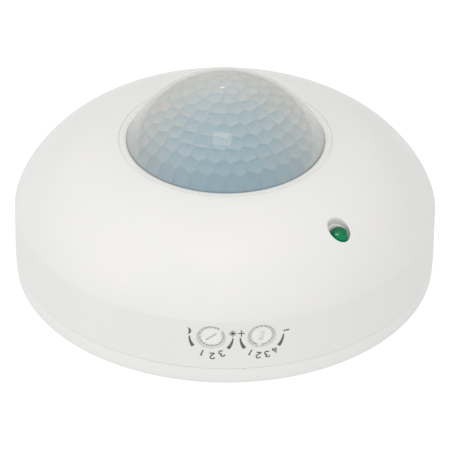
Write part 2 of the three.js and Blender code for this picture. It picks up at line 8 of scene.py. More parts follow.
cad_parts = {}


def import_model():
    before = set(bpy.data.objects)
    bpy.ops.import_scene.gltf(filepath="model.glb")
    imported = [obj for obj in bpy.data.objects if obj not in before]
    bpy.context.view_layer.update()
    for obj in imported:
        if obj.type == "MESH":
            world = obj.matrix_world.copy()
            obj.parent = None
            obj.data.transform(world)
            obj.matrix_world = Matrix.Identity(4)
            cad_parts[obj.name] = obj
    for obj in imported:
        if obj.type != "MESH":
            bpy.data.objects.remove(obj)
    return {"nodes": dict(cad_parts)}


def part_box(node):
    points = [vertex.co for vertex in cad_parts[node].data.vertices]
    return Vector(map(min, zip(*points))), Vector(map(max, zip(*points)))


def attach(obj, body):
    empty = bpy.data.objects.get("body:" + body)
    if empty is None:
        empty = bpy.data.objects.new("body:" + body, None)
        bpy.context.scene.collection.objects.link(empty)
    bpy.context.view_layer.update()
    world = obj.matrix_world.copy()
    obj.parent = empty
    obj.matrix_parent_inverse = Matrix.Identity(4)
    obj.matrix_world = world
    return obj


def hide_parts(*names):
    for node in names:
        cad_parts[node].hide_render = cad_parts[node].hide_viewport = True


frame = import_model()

scene = bpy.context.scene
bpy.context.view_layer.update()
MM = 0.001
RNG = np.random.RandomState(7)
PI = math.pi


def mm(node):
    lo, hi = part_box(node)
    return np.array(lo) / MM, np.array(hi) / MM


# =====================================================================================
# materials
# =====================================================================================


class Nodes:
    """Small helper that wires shader nodes."""

    def __init__(self, name):
        self.mat = bpy.data.materials.new(name)
        self.mat.use_nodes = True
        self.t = self.mat.node_tree
        self.t.nodes.clear()
        self.out = self.t.nodes.new("ShaderNodeOutputMaterial")

    def n(self, kind, **values):
        node = self.t.nodes.new(kind)
        for k, v in values.items():
            if k in ("operation", "blend_type", "data_type", "noise_dimensions", "feature", "distance", "attribute_name", "interpolation_type", "samples", "wave_type", "bands_direction", "inside", "only_local", "normalize", "musgrave_type"):
                setattr(node, k, v)
            else:
                node.inputs[k].default_value = v
        return node

    def link(self, a, b):
        self.t.links.new(a, b)

    def coord(self):
        return self.n("ShaderNodeTexCoord").outputs["Object"]

    def noise(self, scale, detail=2.0, rough=0.5, vector=None, lo=None, hi=None):
        x = self.n("ShaderNodeTexNoise", Scale=scale, Detail=detail, Roughness=rough)
        self.link(vector or self.coord(), x.inputs["Vector"])
        out = x.outputs["Fac"]
        if lo is not None:
            out = self.ranged(out, 0.3, 0.7, lo, hi)
        return out

    def ranged(self, value, a, b, lo, hi):
        m = self.n("ShaderNodeMapRange", **{"From Min": a, "From Max": b, "To Min": lo, "To Max": hi})
        self.link(value, m.inputs["Value"])
        return m.outputs["Result"]

    def math(self, op, a, b=None):
        m = self.n("ShaderNodeMath", operation=op)
        for i, v in enumerate((a, b)):
            if v is None:
                continue
            if isinstance(v, (int, float)):
                m.inputs[i].default_value = v
            else:
                self.link(v, m.inputs[i])
        return m.outputs[0]

    def mix(self, fac, a, b, blend="MIX"):
        m = self.t.nodes.new("ShaderNodeMix")
        m.data_type = "RGBA"
        m.blend_type = blend
        for i, v in ((0, fac), (6, a), (7, b)):
            if isinstance(v, (int, float)):
                m.inputs[i].default_value = v
            elif isinstance(v, (tuple, list)):
                m.inputs[i].default_value = (*v, 1.0)[:4]
            else:
                self.link(v, m.inputs[i])
        return m.outputs[2]

    def ramp(self, fac, stops):
        r = self.t.nodes.new("ShaderNodeValToRGB")
        els = r.color_ramp.elements
        while len(els) < len(stops):
            els.new(0.5)
        for e, (p, c) in zip(els, stops):
            e.position = p
            e.color = (*c, 1.0)[:4]
        self.link(fac, r.inputs[0])
        return r.outputs[0]

    def bump(self, height, strength, distance, normal=None):
        b = self.n("ShaderNodeBump", Strength=strength, Distance=distance)
        self.link(height, b.inputs["Height"])
        if normal is not None:
            self.link(normal, b.inputs["Normal"])
        return b.outputs["Normal"]

    def principled(self, **values):
        p = self.t.nodes.new("ShaderNodeBsdfPrincipled")
        for k, v in values.items():
            k = k.replace("_", " ")
            if isinstance(v, (tuple, list)) and len(v) == 3 and k in ("Base Color", "Subsurface Tint", "Emission Color", "Coat Tint", "Sheen Tint", "Specular Tint"):
                v = (*v, 1.0)
            if hasattr(v, "links") and not isinstance(v, (int, float, tuple)):
                self.link(v, p.inputs[k])
            else:
                p.inputs[k].default_value = v
        return p

    def done(self, shader):
        self.link(shader, self.out.inputs["Surface"])
        return self.mat


def paint_crevice_shade(m, colour, depth, strength):
    """Painted shade: darkens a colour a little where the surface is deep between others, where light is lost there."""
    ao = m.n("ShaderNodeAmbientOcclusion", Distance=depth, samples=4)
    shade = m.ranged(ao.outputs["AO"], 0.0, 0.9, 1.0 - strength, 1.0)
    return m.mix(1.0, colour, m.mix(shade, (0, 0, 0), (1, 1, 1)), "MULTIPLY")


def moulded_plastic(name, colour, rough=0.38, grain=0.06, grain_mm=0.22, sss=0.0, spec=0.5, painted_shade_strength=0.18, warm=0.012, coat=0.0):
    """Injection-moulded plastic: fine spark-eroded grain, slow sink waves, patchy gloss, a trace of warmth and painted
    shade in its crevices.
    """
    m = Nodes(name)
    c = np.array(colour)
    slow = m.noise(38.0, 3.0, 0.55)
    tint = m.mix(m.ranged(slow, 0.3, 0.7, 0.0, 1.0), tuple(c * (1 - warm)), tuple(np.minimum(c * np.array([1 + warm, 1 + warm * 0.6, 1.0 - warm * 0.4]), 1)))
    speck = m.noise(2600.0, 2.0, 0.6)
    tint = m.mix(m.ranged(speck, 0.66, 0.74, 0.0, 0.10), tint, tuple(c * 0.86))
    # painted shade: the plastic darker in its crevices and recesses, as strong as its crevice setting
    tint = paint_crevice_shade(m, tint, 0.0022, painted_shade_strength)
    gloss = m.math("ADD", m.noise(120.0, 3.0, 0.6, lo=rough - 0.035, hi=rough + 0.035), m.noise(900.0, 1.0, lo=-0.02, hi=0.02))
    fine = m.noise(1000.0 / grain_mm, 2.0, 0.6)
    waves = m.noise(55.0, 1.0)
    n1 = m.bump(fine, grain, 0.00004)
    n2 = m.bump(waves, 0.05, 0.0006, n1)
    p = m.principled(Base_Color=tint, Roughness=gloss, Normal=n2, IOR=1.46)
    p.inputs["Specular IOR Level"].default_value = spec
    if sss:
        p.inputs["Subsurface Weight"].default_value = sss
        p.inputs["Subsurface Radius"].default_value = (1.0, 0.92, 0.8)
        p.inputs["Subsurface Scale"].default_value = 0.0006
    if coat:
        p.inputs["Coat Weight"].default_value = coat
        p.inputs["Coat Roughness"].default_value = 0.08
    return m.done(p.outputs[0])


def metal(name, colour, rough=0.3, scratch=0.12):
    m = Nodes(name)
    c = np.array(colour)
    patch = m.noise(700.0, 4.0, 0.6)
    tint = m.mix(m.ranged(patch, 0.35, 0.65, 0.0, 1.0), tuple(c * 0.82), tuple(np.minimum(c * 1.06, 1)))
    # painted shade: the metal darker in its crevices
    tint = paint_crevice_shade(m, tint, 0.0015, 0.35)
    mapping = m.n("ShaderNodeMapping")
    mapping.inputs["Scale"].default_value = (9.0, 1.0, 1.0)
    m.link(m.coord(), mapping.inputs["Vector"])
    lines = m.noise(1500.0, 3.0, 0.7, vector=mapping.outputs[0])
    r = m.ranged(lines, 0.3, 0.7, rough - 0.08, rough + 0.12)
    p = m.principled(Base_Color=tint, Roughness=r, Metallic=1.0, Normal=m.bump(lines, scratch, 0.00002))
    return m.done(p.outputs[0])


def rubber(name, colour, rough=0.75, pore=0.0):
    m = Nodes(name)
    c = np.array(colour)
    tint = m.mix(m.noise(300.0, 4.0, 0.6, lo=0.0, hi=1.0), tuple(c * 0.8), tuple(c * 1.25))
    fine = m.noise(2800.0 if not pore else 1000.0 / pore, 3.0, 0.7)
    # its colour carries painted shade in its crevices
    p = m.principled(Base_Color=paint_crevice_shade(m, tint, 0.002, 0.4), Roughness=m.noise(400.0, 2.0, lo=rough - 0.08, hi=min(rough + 0.1, 1.0)), Normal=m.bump(fine, 0.5 if pore else 0.2, 0.0001))
    return m.done(p.outputs[0])


def coated(name, colour, rough=0.3, coat=0.4, drip=0.1):
    """Dipped or moulded component coating with an orange-peel surface."""
    m = Nodes(name)
    c = np.array(colour)
    tint = m.mix(m.noise(350.0, 3.0, 0.6, lo=0.0, hi=1.0), tuple(c * 0.85), tuple(np.minimum(c * 1.15, 1)))
    peel = m.noise(900.0, 2.0, 0.5)
    # its colour carries painted shade in its crevices
    p = m.principled(Base_Color=paint_crevice_shade(m, tint, 0.0015, 0.3), Roughness=m.noise(500.0, 2.0, lo=rough - 0.05, hi=rough + 0.08), Normal=m.bump(peel, drip, 0.0001))
    p.inputs["Coat Weight"].default_value = coat
    p.inputs["Coat Roughness"].default_value = 0.1
    return m.done(p.outputs[0])


def laminate(name):
    """Green solder mask over etched copper: faint lighter tracks under the mask."""
    m = Nodes(name)
    brick = m.t.nodes.new("ShaderNodeTexBrick")
    brick.inputs["Scale"].default_value = 160.0
    brick.inputs["Mortar Size"].default_value = 0.035
    brick.inputs["Color1"].default_value = (1, 1, 1, 1)
    brick.inputs["Color2"].default_value = (0.85, 0.85, 0.85, 1)
    brick.inputs["Mortar"].default_value = (0, 0, 0, 1)
    m.link(m.coord(), brick.inputs["Vector"])
    tint = m.mix(brick.outputs["Fac"], (0.035, 0.15, 0.06), (0.015, 0.09, 0.035))
    tint = m.mix(m.noise(500.0, 3.0, lo=0.0, hi=0.4), tint, (0.05, 0.2, 0.09))
    p = m.principled(Base_Color=tint, Roughness=m.noise(300.0, 2.0, lo=0.25, hi=0.42), Normal=m.bump(brick.outputs["Fac"], 0.25, 0.00008))
    return m.done(p.outputs[0])


WHITE = (0.795, 0.796, 0.791)
# where a plastic below sets a crevice strength, that is painted shade in its recesses
M = {
    "cover_plastic": moulded_plastic("cover_plastic", WHITE, rough=0.36, grain=0.05, sss=0.0, painted_shade_strength=0.08),
    "bezel_plastic": moulded_plastic("bezel_plastic", (0.82, 0.82, 0.81), rough=0.30, grain=0.03, painted_shade_strength=0.06),
    "base_plastic": moulded_plastic("base_plastic", (0.825, 0.825, 0.818), rough=0.42, grain=0.10, grain_mm=0.3, painted_shade_strength=0.12),
    "inner_plastic": moulded_plastic("inner_plastic", (0.76, 0.755, 0.73), rough=0.45, grain=0.12, grain_mm=0.35),
    "knob_plastic": moulded_plastic("knob_plastic", (0.845, 0.845, 0.835), rough=0.34, grain=0.04, painted_shade_strength=0.16),
    "trimmer_rotor_plastic": moulded_plastic("trimmer_rotor_plastic", (0.74, 0.72, 0.66), rough=0.45),
    "terminal_plastic": moulded_plastic("terminal_plastic", (0.72, 0.70, 0.63), rough=0.5, grain=0.12, painted_shade_strength=0.35),
    "trimmer_case": moulded_plastic("trimmer_case", (0.03, 0.08, 0.30), rough=0.45),
    "grommet_rubber": rubber("grommet_rubber", (0.20, 0.205, 0.21)),
    "seal_foam": rubber("seal_foam", (0.05, 0.05, 0.053), 0.85, pore=0.45),
    "board_laminate": laminate("board_laminate"),
    "screw_steel": metal("screw_steel", (0.62, 0.62, 0.63), 0.28),
    "clamp_brass": metal("clamp_brass", (0.72, 0.54, 0.26), 0.32),
    "sensor_can": metal("sensor_can", (0.66, 0.66, 0.67), 0.25),
    "sensor_filter": coated("sensor_filter", (0.05, 0.045, 0.06), 0.12, 0.8, 0.02),
    "photocell_face": coated("photocell_face", (0.55, 0.22, 0.09), 0.2, 0.7),
    "relay_case": coated("relay_case", (0.025, 0.05, 0.20), 0.35, 0.2),
    "film_capacitor_case": coated("film_capacitor_case", (0.70, 0.50, 0.05), 0.35, 0.2),
    "capacitor_sleeve": coated("capacitor_sleeve", (0.02, 0.02, 0.03), 0.3, 0.3),
    "epoxy_package": coated("epoxy_package", (0.018, 0.018, 0.02), 0.5, 0.0, 0.3),
    "varistor_coating": coated("varistor_coating", (0.03, 0.12, 0.36), 0.25, 0.5),
    "resistor_coating": coated("resistor_coating", (0.15, 0.24, 0.14), 0.55, 0.0, 0.3),
}


def lamp_epoxy():
    """Green tinted epoxy with a milky heart and a clear gloss, its green painted darker on top and lighter on the
    front.
    """
    m = Nodes("lamp_epoxy")
    # painted light and shade: the green is darker where the epoxy faces up and back, lighter where it faces the front
    # and down
    lit = m.n("ShaderNodeVectorMath", operation="DOT_PRODUCT")
    m.link(m.n("ShaderNodeNewGeometry").outputs["Normal"], lit.inputs[0])
    lit.inputs[1].default_value = (0.10, -0.95, -0.30)
    tint = m.mix(m.ranged(lit.outputs["Value"], -0.5, 0.9, 0.0, 1.0), (0.0, 0.095, 0.040), (0.0, 0.275, 0.098))
    tint = m.mix(m.noise(900.0, 2.0, lo=0.0, hi=0.25), tint, (0.0, 0.14, 0.06))
    p = m.principled(Base_Color=tint, Roughness=m.noise(700.0, 2.0, lo=0.05, hi=0.09), IOR=1.54, Normal=m.bump(m.noise(250.0, 1.0), 0.02, 0.0003))
    p.inputs["Specular IOR Level"].default_value = 0.20
    p.inputs["Subsurface Weight"].default_value = 0.25
    p.inputs["Subsurface Radius"].default_value = (0.2, 1.0, 0.6)
    p.inputs["Subsurface Scale"].default_value = 0.0012
    return m.done(p.outputs[0])


M["lamp_epoxy"] = lamp_epoxy()


def scale_ink():
    m = Nodes("scale_ink")
    wear = m.noise(1600.0, 3.0, 0.65)
    tint = m.mix(m.ranged(wear, 0.35, 0.75, 0.0, 1.0), (0.075, 0.080, 0.080), (0.15, 0.155, 0.155))
    p = m.principled(Base_Color=tint, Roughness=m.noise(500.0, 2.0, lo=0.45, hi=0.6), Normal=m.bump(wear, 0.1, 0.00002))
    return m.done(p.outputs[0])


INK = scale_ink()


def lens_skin():
    """Outer skin of the dome: thin, clear and glossy face on, milky at a glancing angle."""
    m = Nodes("lens_skin")
    facing = m.n("ShaderNodeLayerWeight", Blend=0.5).outputs["Facing"]
    haze = m.ramp(facing, [(0.0, (0.04,) * 3), (0.45, (0.07,) * 3), (0.75, (0.11,) * 3), (0.92, (0.17,) * 3), (1.0, (0.36,) * 3)])
    haze = m.math("ADD", haze, m.noise(60.0, 3.0, lo=-0.015, hi=0.02))
    body = m.n("ShaderNodeBsdfDiffuse", Color=(0.72, 0.72, 0.70, 1.0))
    clear = m.n("ShaderNodeBsdfTransparent", Color=(1, 1, 1, 1))
    a = m.n("ShaderNodeMixShader")
    m.link(haze, a.inputs[0])
    m.link(clear.outputs[0], a.inputs[1])
    m.link(body.outputs[0], a.inputs[2])
    ripple = m.bump(m.noise(70.0, 2.0), 0.012, 0.0004)
    gloss = m.n("ShaderNodeBsdfGlossy", Roughness=0.015, Color=(1, 1, 1, 1))
    m.link(ripple, gloss.inputs["Normal"])
    fresnel = m.n("ShaderNodeFresnel", IOR=1.5)
    m.link(ripple, fresnel.inputs["Normal"])
    b = m.n("ShaderNodeMixShader")
    m.link(fresnel.outputs[0], b.inputs[0])
    m.link(a.outputs[0], b.inputs[1])
    m.link(gloss.outputs[0], b.inputs[2])
    # the skin's own far side is left out, so only its outer face shows
    c = m.n("ShaderNodeMixShader")
    m.link(m.n("ShaderNodeNewGeometry").outputs["Backfacing"], c.inputs[0])
    m.link(b.outputs[0], c.inputs[1])
    m.link(clear.outputs[0], c.inputs[2])
    return m.done(c.outputs[0])


def lens_core():
    """Inner face of the dome with its moulded lenslets: bluish where it is looked through, greyer at a slant, with
    painted light and shade laid over the cells and the dome.
    """
    m = Nodes("lens_core")
    # slant of the whole dome to the eye, so the base tint runs smoothly over the cells
    pos = m.n("ShaderNodeVectorMath", operation="SUBTRACT")
    m.link(m.coord(), pos.inputs[0])
    pos.inputs[1].default_value = (0.0, 0.0, CENTRE_Z * MM)
    turn = m.t.nodes.new("ShaderNodeVectorTransform")
    turn.vector_type, turn.convert_from, turn.convert_to = "NORMAL", "OBJECT", "WORLD"
    m.link(pos.outputs["Vector"], turn.inputs["Vector"])
    unit = m.n("ShaderNodeVectorMath", operation="NORMALIZE")
    m.link(turn.outputs["Vector"], unit.inputs[0])
    eye = m.n("ShaderNodeVectorMath", operation="DOT_PRODUCT")
    m.link(unit.outputs["Vector"], eye.inputs[0])
    m.link(m.n("ShaderNodeNewGeometry").outputs["Incoming"], eye.inputs[1])
    # each dish tips its tint: bluer where it turns to the eye, paler where it turns away; on top of that, painted light
    # makes it paler where it turns up and bluer where it turns down
    geo = m.n("ShaderNodeNewGeometry")
    tip = m.n("ShaderNodeVectorMath", operation="SUBTRACT")
    m.link(geo.outputs["Normal"], tip.inputs[0])
    m.link(unit.outputs["Vector"], tip.inputs[1])
    tips = []
    # the term with world up (gain -0.32) is painted light from above
    for source, gain in ((geo.outputs["Incoming"], 0.46), ((0.0, 0.0, 1.0), -0.32)):
        dot = m.n("ShaderNodeVectorMath", operation="DOT_PRODUCT")
        m.link(tip.outputs["Vector"], dot.inputs[0])
        if isinstance(source, tuple):
            dot.inputs[1].default_value = source
        else:
            m.link(source, dot.inputs[1])
        tips.append(m.math("MULTIPLY", dot.outputs["Value"], gain))
    across = m.math("ABSOLUTE", eye.outputs["Value"])
    seen = m.math("ADD", m.math("MULTIPLY", across, 0.94), m.math("ADD", tips[0], tips[1]))
    slant = m.math("SUBTRACT", 1.0, m.math("MINIMUM", m.math("MAXIMUM", seen, 0.0), 1.0))
    tint = m.ramp(slant, [
        (0.00, (0.215, 0.330, 0.385)), (0.15, (0.280, 0.378, 0.425)), (0.32, (0.365, 0.430, 0.455)),
        (0.46, (0.465, 0.492, 0.485)), (0.60, (0.530, 0.538, 0.520)), (1.0, (0.60, 0.597, 0.575))])
    rand = m.n("ShaderNodeAttribute", attribute_name="cell_rand").outputs["Fac"]
    edge = m.n("ShaderNodeAttribute", attribute_name="cell_edge").outputs["Fac"]
    # painted shade: a thin darker rim along each lenslet's edge, where the steps between lenslets would be shaded
    tint = m.mix(m.ranged(edge, 0.86, 1.0, 0.0, 0.10), tint, (0.20, 0.27, 0.30))
    tint = m.mix(m.ranged(rand, 0.0, 1.0, 0.0, 0.09), tint, (0.30, 0.33, 0.42))
    split = m.n("ShaderNodeSeparateXYZ")
    m.link(m.coord(), split.inputs[0])
    # painted light: the upper dome lighter, the lower dome slightly darker and bluer
    low = m.ranged(split.outputs["Z"], 0.0385, 0.0460, 0.0, 1.0)
    tint = m.mix(1.0, tint, m.mix(low, (0.96, 1.03, 1.06), (1.15, 1.15, 1.135)), "MULTIPLY")
    # painted shade: the dome's left side darker, down to 0.86 towards its left edge
    side = m.ranged(split.outputs["X"], -0.028, -0.006, 0.86, 1.0)
    tint = m.mix(1.0, tint, side, "MULTIPLY")
    # shaded line where the dome drops behind its ring
    foot = m.ranged(split.outputs["Z"], 0.03845, 0.03885, 0.70, 1.0)
    tint = m.mix(1.0, tint, foot, "MULTIPLY")
    p = m.principled(Base_Color=tint, Roughness=m.noise(300.0, 2.0, lo=0.42, hi=0.55), Normal=m.bump(m.noise(1500.0, 2.0), 0.04, 0.00003))
    p.inputs["Specular IOR Level"].default_value = 0.25
    return m.done(p.outputs[0])


CENTRE_Z = 27.0
SKIN, CORE = lens_skin(), lens_core()

# =====================================================================================
# mesh building, in millimetres
# =====================================================================================


def obj(name, verts, faces, mat, sharp=34.0, fix=True):
    me = bpy.data.meshes.new(name)
    me.from_pydata((np.asarray(verts, float) * MM).tolist(), [], [list(map(int, f)) for f in faces])
    bm = bmesh.new()
    bm.from_mesh(me)
    if fix:
        bmesh.ops.remove_doubles(bm, verts=bm.verts, dist=1e-7)
        bmesh.ops.recalc_face_normals(bm, faces=bm.faces)
    bm.to_mesh(me)
    bm.free()
    for p in me.polygons:
        p.use_smooth = True
    me.set_sharp_from_angle(angle=math.radians(sharp))
    me.materials.append(mat)
    ob = bpy.data.objects.new(name, me)
    scene.collection.objects.link(ob)
    return ob


def rounded(points, radii, seg=4, closed=True):
    """Polyline with chosen corners turned into arcs."""
    pts = [np.array(p, float) for p in points]
    out = []
    n = len(pts)
    for i, c in enumerate(pts):
        r = radii.get(i, 0.0)
        if r <= 0 or (not closed and i in (0, n - 1)):
            out.append(c)
            continue
        a, b = pts[i - 1] - c, pts[(i + 1) % n] - c
        la, lb = np.linalg.norm(a), np.linalg.norm(b)
        a, b = a / la, b / lb
        th = math.acos(float(np.clip(a @ b, -1, 1)))
        d = min(r / math.tan(th / 2), la * 0.48, lb * 0.48)
        r = d * math.tan(th / 2)
        mid = (a + b) / np.linalg.norm(a + b)
        o = c + mid * r / math.sin(th / 2)
        p0, p1 = c + a * d - o, c + b * d - o
        ang = math.acos(float(np.clip(p0 @ p1 / (r * r), -1, 1)))
        for k in range(seg + 1):
            t = k / seg
            out.append(o + (math.sin((1 - t) * ang) * p0 + math.sin(t * ang) * p1) / math.sin(ang))
    return np.array(out)


def spline(points, per=12):
    """Natural cubic spline through points, densely sampled."""
    p = np.array(points, float)
    t = np.concatenate([[0], np.cumsum(np.linalg.norm(np.diff(p, axis=0), axis=1))])
    n = len(p)
    h = np.diff(t)
    A = np.zeros((n, n))
    B = np.zeros((n, 2))
    A[0, 0] = A[-1, -1] = 1
    for i in range(1, n - 1):
        A[i, i - 1], A[i, i], A[i, i + 1] = h[i - 1], 2 * (h[i - 1] + h[i]), h[i]
        B[i] = 6 * ((p[i + 1] - p[i]) / h[i] - (p[i] - p[i - 1]) / h[i - 1])
    m = np.linalg.solve(A, B)
    out = []
    for i in range(n - 1):
        for u in np.linspace(0, h[i], per, endpoint=False):
            a, b = h[i] - u, u
            out.append(m[i] * a**3 / (6 * h[i]) + m[i + 1] * b**3 / (6 * h[i]) + (p[i] / h[i] - m[i] * h[i] / 6) * a + (p[i + 1] / h[i] - m[i + 1] * h[i] / 6) * b)
    out.append(p[-1])
    return np.array(out)


def lathe(profile, n=200, closed=True):
    P = np.asarray(profile, float)
    a = np.linspace(0, 2 * PI, n, endpoint=False)
    verts, rings = [], []
    for r, z in P:
        if r < 1e-9:
            rings.append([len(verts)])
            verts.append((0, 0, z))
        else:
            rings.append(list(range(len(verts), len(verts) + n)))
            verts += [(r * math.sin(t), -r * math.cos(t), z) for t in a]
    faces = []
    pairs = list(zip(rings, rings[1:])) + ([(rings[-1], rings[0])] if closed else [])
    for A, B in pairs:
        if len(A) == 1 and len(B) == 1:
            continue
        for i in range(n):
            j = (i + 1) % n
            if len(A) == 1:
                faces.append((A[0], B[j], B[i]))
            elif len(B) == 1:
                faces.append((A[i], A[j], B[0]))
            else:
                faces.append((A[i], A[j], B[j], B[i]))
    return np.array(verts, float), faces


def merge(*parts):
    V, F, k = [], [], 0
    for v, f in parts:
        V.append(np.asarray(v, float))
        F += [tuple(i + k for i in q) for q in f]
        k += len(v)
    return np.vstack(V), F


def prism(outline, z0, z1, bevel=0.0, seg=2, bevel_low=False):
    """Extruded outline (counter-clockwise x, y), its top edge rolled over by insetting along the corner normals."""
    P = np.asarray(outline, float)
    n = len(P)
    e = np.roll(P, -1, 0) - P
    e /= np.linalg.norm(e, axis=1)[:, None]
    nrm = np.stack([e[:, 1], -e[:, 0]], 1)
    mit = nrm + np.roll(nrm, 1, 0)
    mit /= np.maximum((mit * nrm).sum(1), 0.35)[:, None]
    levels = []
    if bevel_low and bevel:
        for k in range(seg + 1):
            t = PI / 2 * k / seg
            levels.append((bevel * (1 - math.sin(t)), z0 + bevel * (1 - math.cos(t))))
    else:
        levels.append((0.0, z0))
    if bevel:
        for k in range(seg + 1):
            t = PI / 2 * k / seg
            levels.append((bevel * (1 - math.cos(t)), z1 - bevel * (1 - math.sin(t))))
    else:
        levels.append((0.0, z1))
    V = np.vstack([np.column_stack([P - mit * d, np.full(n, z)]) for d, z in levels])
    F = []
    for k in range(len(levels) - 1):
        for i in range(n):
            j = (i + 1) % n
            F.append((k * n + i, k * n + j, (k + 1) * n + j, (k + 1) * n + i))
    F.append(tuple(reversed(range(n))))
    F.append(tuple(range((len(levels) - 1) * n, len(levels) * n)))
    return V, F


def rounded_rect(x0, x1, y0, y1, r=0.4, seg=3):
    return rounded([(x0, y0), (x1, y0), (x1, y1), (x0, y1)], {i: r for i in range(4)}, seg)


def stadium(x0, x1, y, w, seg=10):
    h = w / 2
    a = [(x1 - h + h * math.cos(t), y + h * math.sin(t)) for t in np.linspace(-PI / 2, PI / 2, seg + 1)]
    b = [(x0 + h + h * math.cos(t), y + h * math.sin(t)) for t in np.linspace(PI / 2, 1.5 * PI, seg + 1)]
    return np.array(a + b)


def circle(r, n=48, x=0.0, y=0.0):
    t = np.linspace(0, 2 * PI, n, endpoint=False)
    return np.column_stack([x + r * np.cos(t), y + r * np.sin(t)])


def azdir(az):
    a = math.radians(az)
    return np.array([math.sin(a), -math.cos(a)])


def arc_outline(r0, r1, mid, half, n=14):
    A = [azdir(t) * r1 for t in np.linspace(mid - half, mid + half, n)]
    B = [azdir(t) * r0 for t in np.linspace(mid + half, mid - half, n)]
    return np.array(A + B)


def boolean(target, cutter, operation):
    """Exact boolean; where that solver gives nothing back, the manifold solver is used instead."""
    for solver in ("EXACT", "MANIFOLD"):
        mod = target.modifiers.new("b", "BOOLEAN")
        mod.operation = operation
        mod.solver = solver
        mod.object = cutter
        bpy.context.view_layer.update()
        dg = bpy.context.evaluated_depsgraph_get()
        new = bpy.data.meshes.new_from_object(target.evaluated_get(dg), preserve_all_data_layers=True, depsgraph=dg)
        target.modifiers.clear()
        if len(new.polygons) > 3:
            break
        bpy.data.meshes.remove(new)
    else:
        raise RuntimeError("boolean gave nothing for " + target.name)
    old = target.data
    target.data = new
    bpy.data.meshes.remove(old)
    bpy.data.objects.remove(cutter, do_unlink=True)


def apply_modifiers(ob):
    bpy.context.view_layer.update()
    dg = bpy.context.evaluated_depsgraph_get()
    new = bpy.data.meshes.new_from_object(ob.evaluated_get(dg), preserve_all_data_layers=True, depsgraph=dg)
    old = ob.data
    ob.modifiers.clear()
    ob.data = new
    bpy.data.meshes.remove(old)


def soften(ob, width, angle=40.0, seg=2, sharp=34.0):
    """Rolls every sharp edge over by a small radius."""
    mod = ob.modifiers.new("edge", "BEVEL")
    mod.width = width * MM
    mod.segments = seg
    mod.limit_method = "ANGLE"
    mod.angle_limit = math.radians(angle)
    mod.use_clamp_overlap = True
    mod.harden_normals = False
    apply_modifiers(ob)
    for p in ob.data.polygons:
        p.use_smooth = True
    ob.data.set_sharp_from_angle(angle=math.radians(sharp))
    weighted(ob)


def weighted(ob):
    w = ob.modifiers.new("wn", "WEIGHTED_NORMAL")
    w.keep_sharp = True
    w.weight = 60


def put(ob, body, slot=None, *nodes):
    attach(ob, body)
    if nodes:
        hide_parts(*nodes)
    return ob


# =====================================================================================
# outline of the housing
# =====================================================================================

FOOT = 4.76                       # lower edge of the cover
SKIRT_FOOT_R, SKIRT_TOP_R, SKIRT_TOP = 57.84, 57.50, 19.38
RIM_R, RIM_Z = 28.75, 38.88
KNOB_AZ, KNOB_Z, KNOB_HOLE = 6.5, 14.40, 3.40
LED_AZ, LED_ORBIT, LED_BORE, LED_GUIDE, LED_TUBE, LED_TUBE_FOOT = 36.6, 46.10, 2.95, 2.40, 3.95, 26.3
SHOULDER = [
    (57.50, 19.38), (57.20, 20.22), (56.50, 21.86), (55.50, 23.74), (54.00, 25.90), (52.00, 28.35), (49.50, 30.88), (46.00, 33.58),
    (42.00, 35.86), (37.00, 37.68), (32.00, 38.62), (28.75, 38.88)]
INSIDE = [(28.75, 36.85), (32.4, 36.6), (37.0, 35.5), (43.0, 32.7), (48.2, 28.8), (52.4, 24.0), (55.2, 18.6)]


def skirt_r(z):
    return SKIRT_FOOT_R + (SKIRT_TOP_R - SKIRT_FOOT_R) * (z - FOOT) / (SKIRT_TOP - FOOT)


def inner_r(z):
    return 55.6 + (55.2 - 55.6) * (z - FOOT) / (18.6 - FOOT)


shoulder = spline(SHOULDER)
inside = spline(INSIDE)


def shoulder_z(r):
    return np.interp(r, shoulder[::-1, 0], shoulder[::-1, 1])


def inside_z(r):
    return np.interp(r, inside[:, 0], inside[:, 1])


# extra azimuth lines carry the knock-out outlines each side
EXTRA = [55.5, 60.5, 75.0]
az_lines = set(float(i) for i in range(-180, 180))
for c in EXTRA:
    for s in (-1, 1):
        for d in (-0.09, 0.0, 0.09):
            az_lines.add(round(s * c + d, 3))
az_lines = np.array(sorted(az_lines))
NA = len(az_lines)


def index_az(a):
    return int(np.argmin(np.abs(az_lines - a)))


GROOVE = 0.03
LED_BAND = [50.9, 49.8, 48.7, 47.6, 46.5, 45.4, 44.3, 43.2, 42.1, 41.2]
SKIRT_Z = [5.2, 5.51, 5.60, 5.69, 6.8, 8.1, 9.5, 10.6, 11.7, 12.8, 13.41, 13.50, 13.59, 14.6, 15.7, 16.8, 17.9, 18.95]


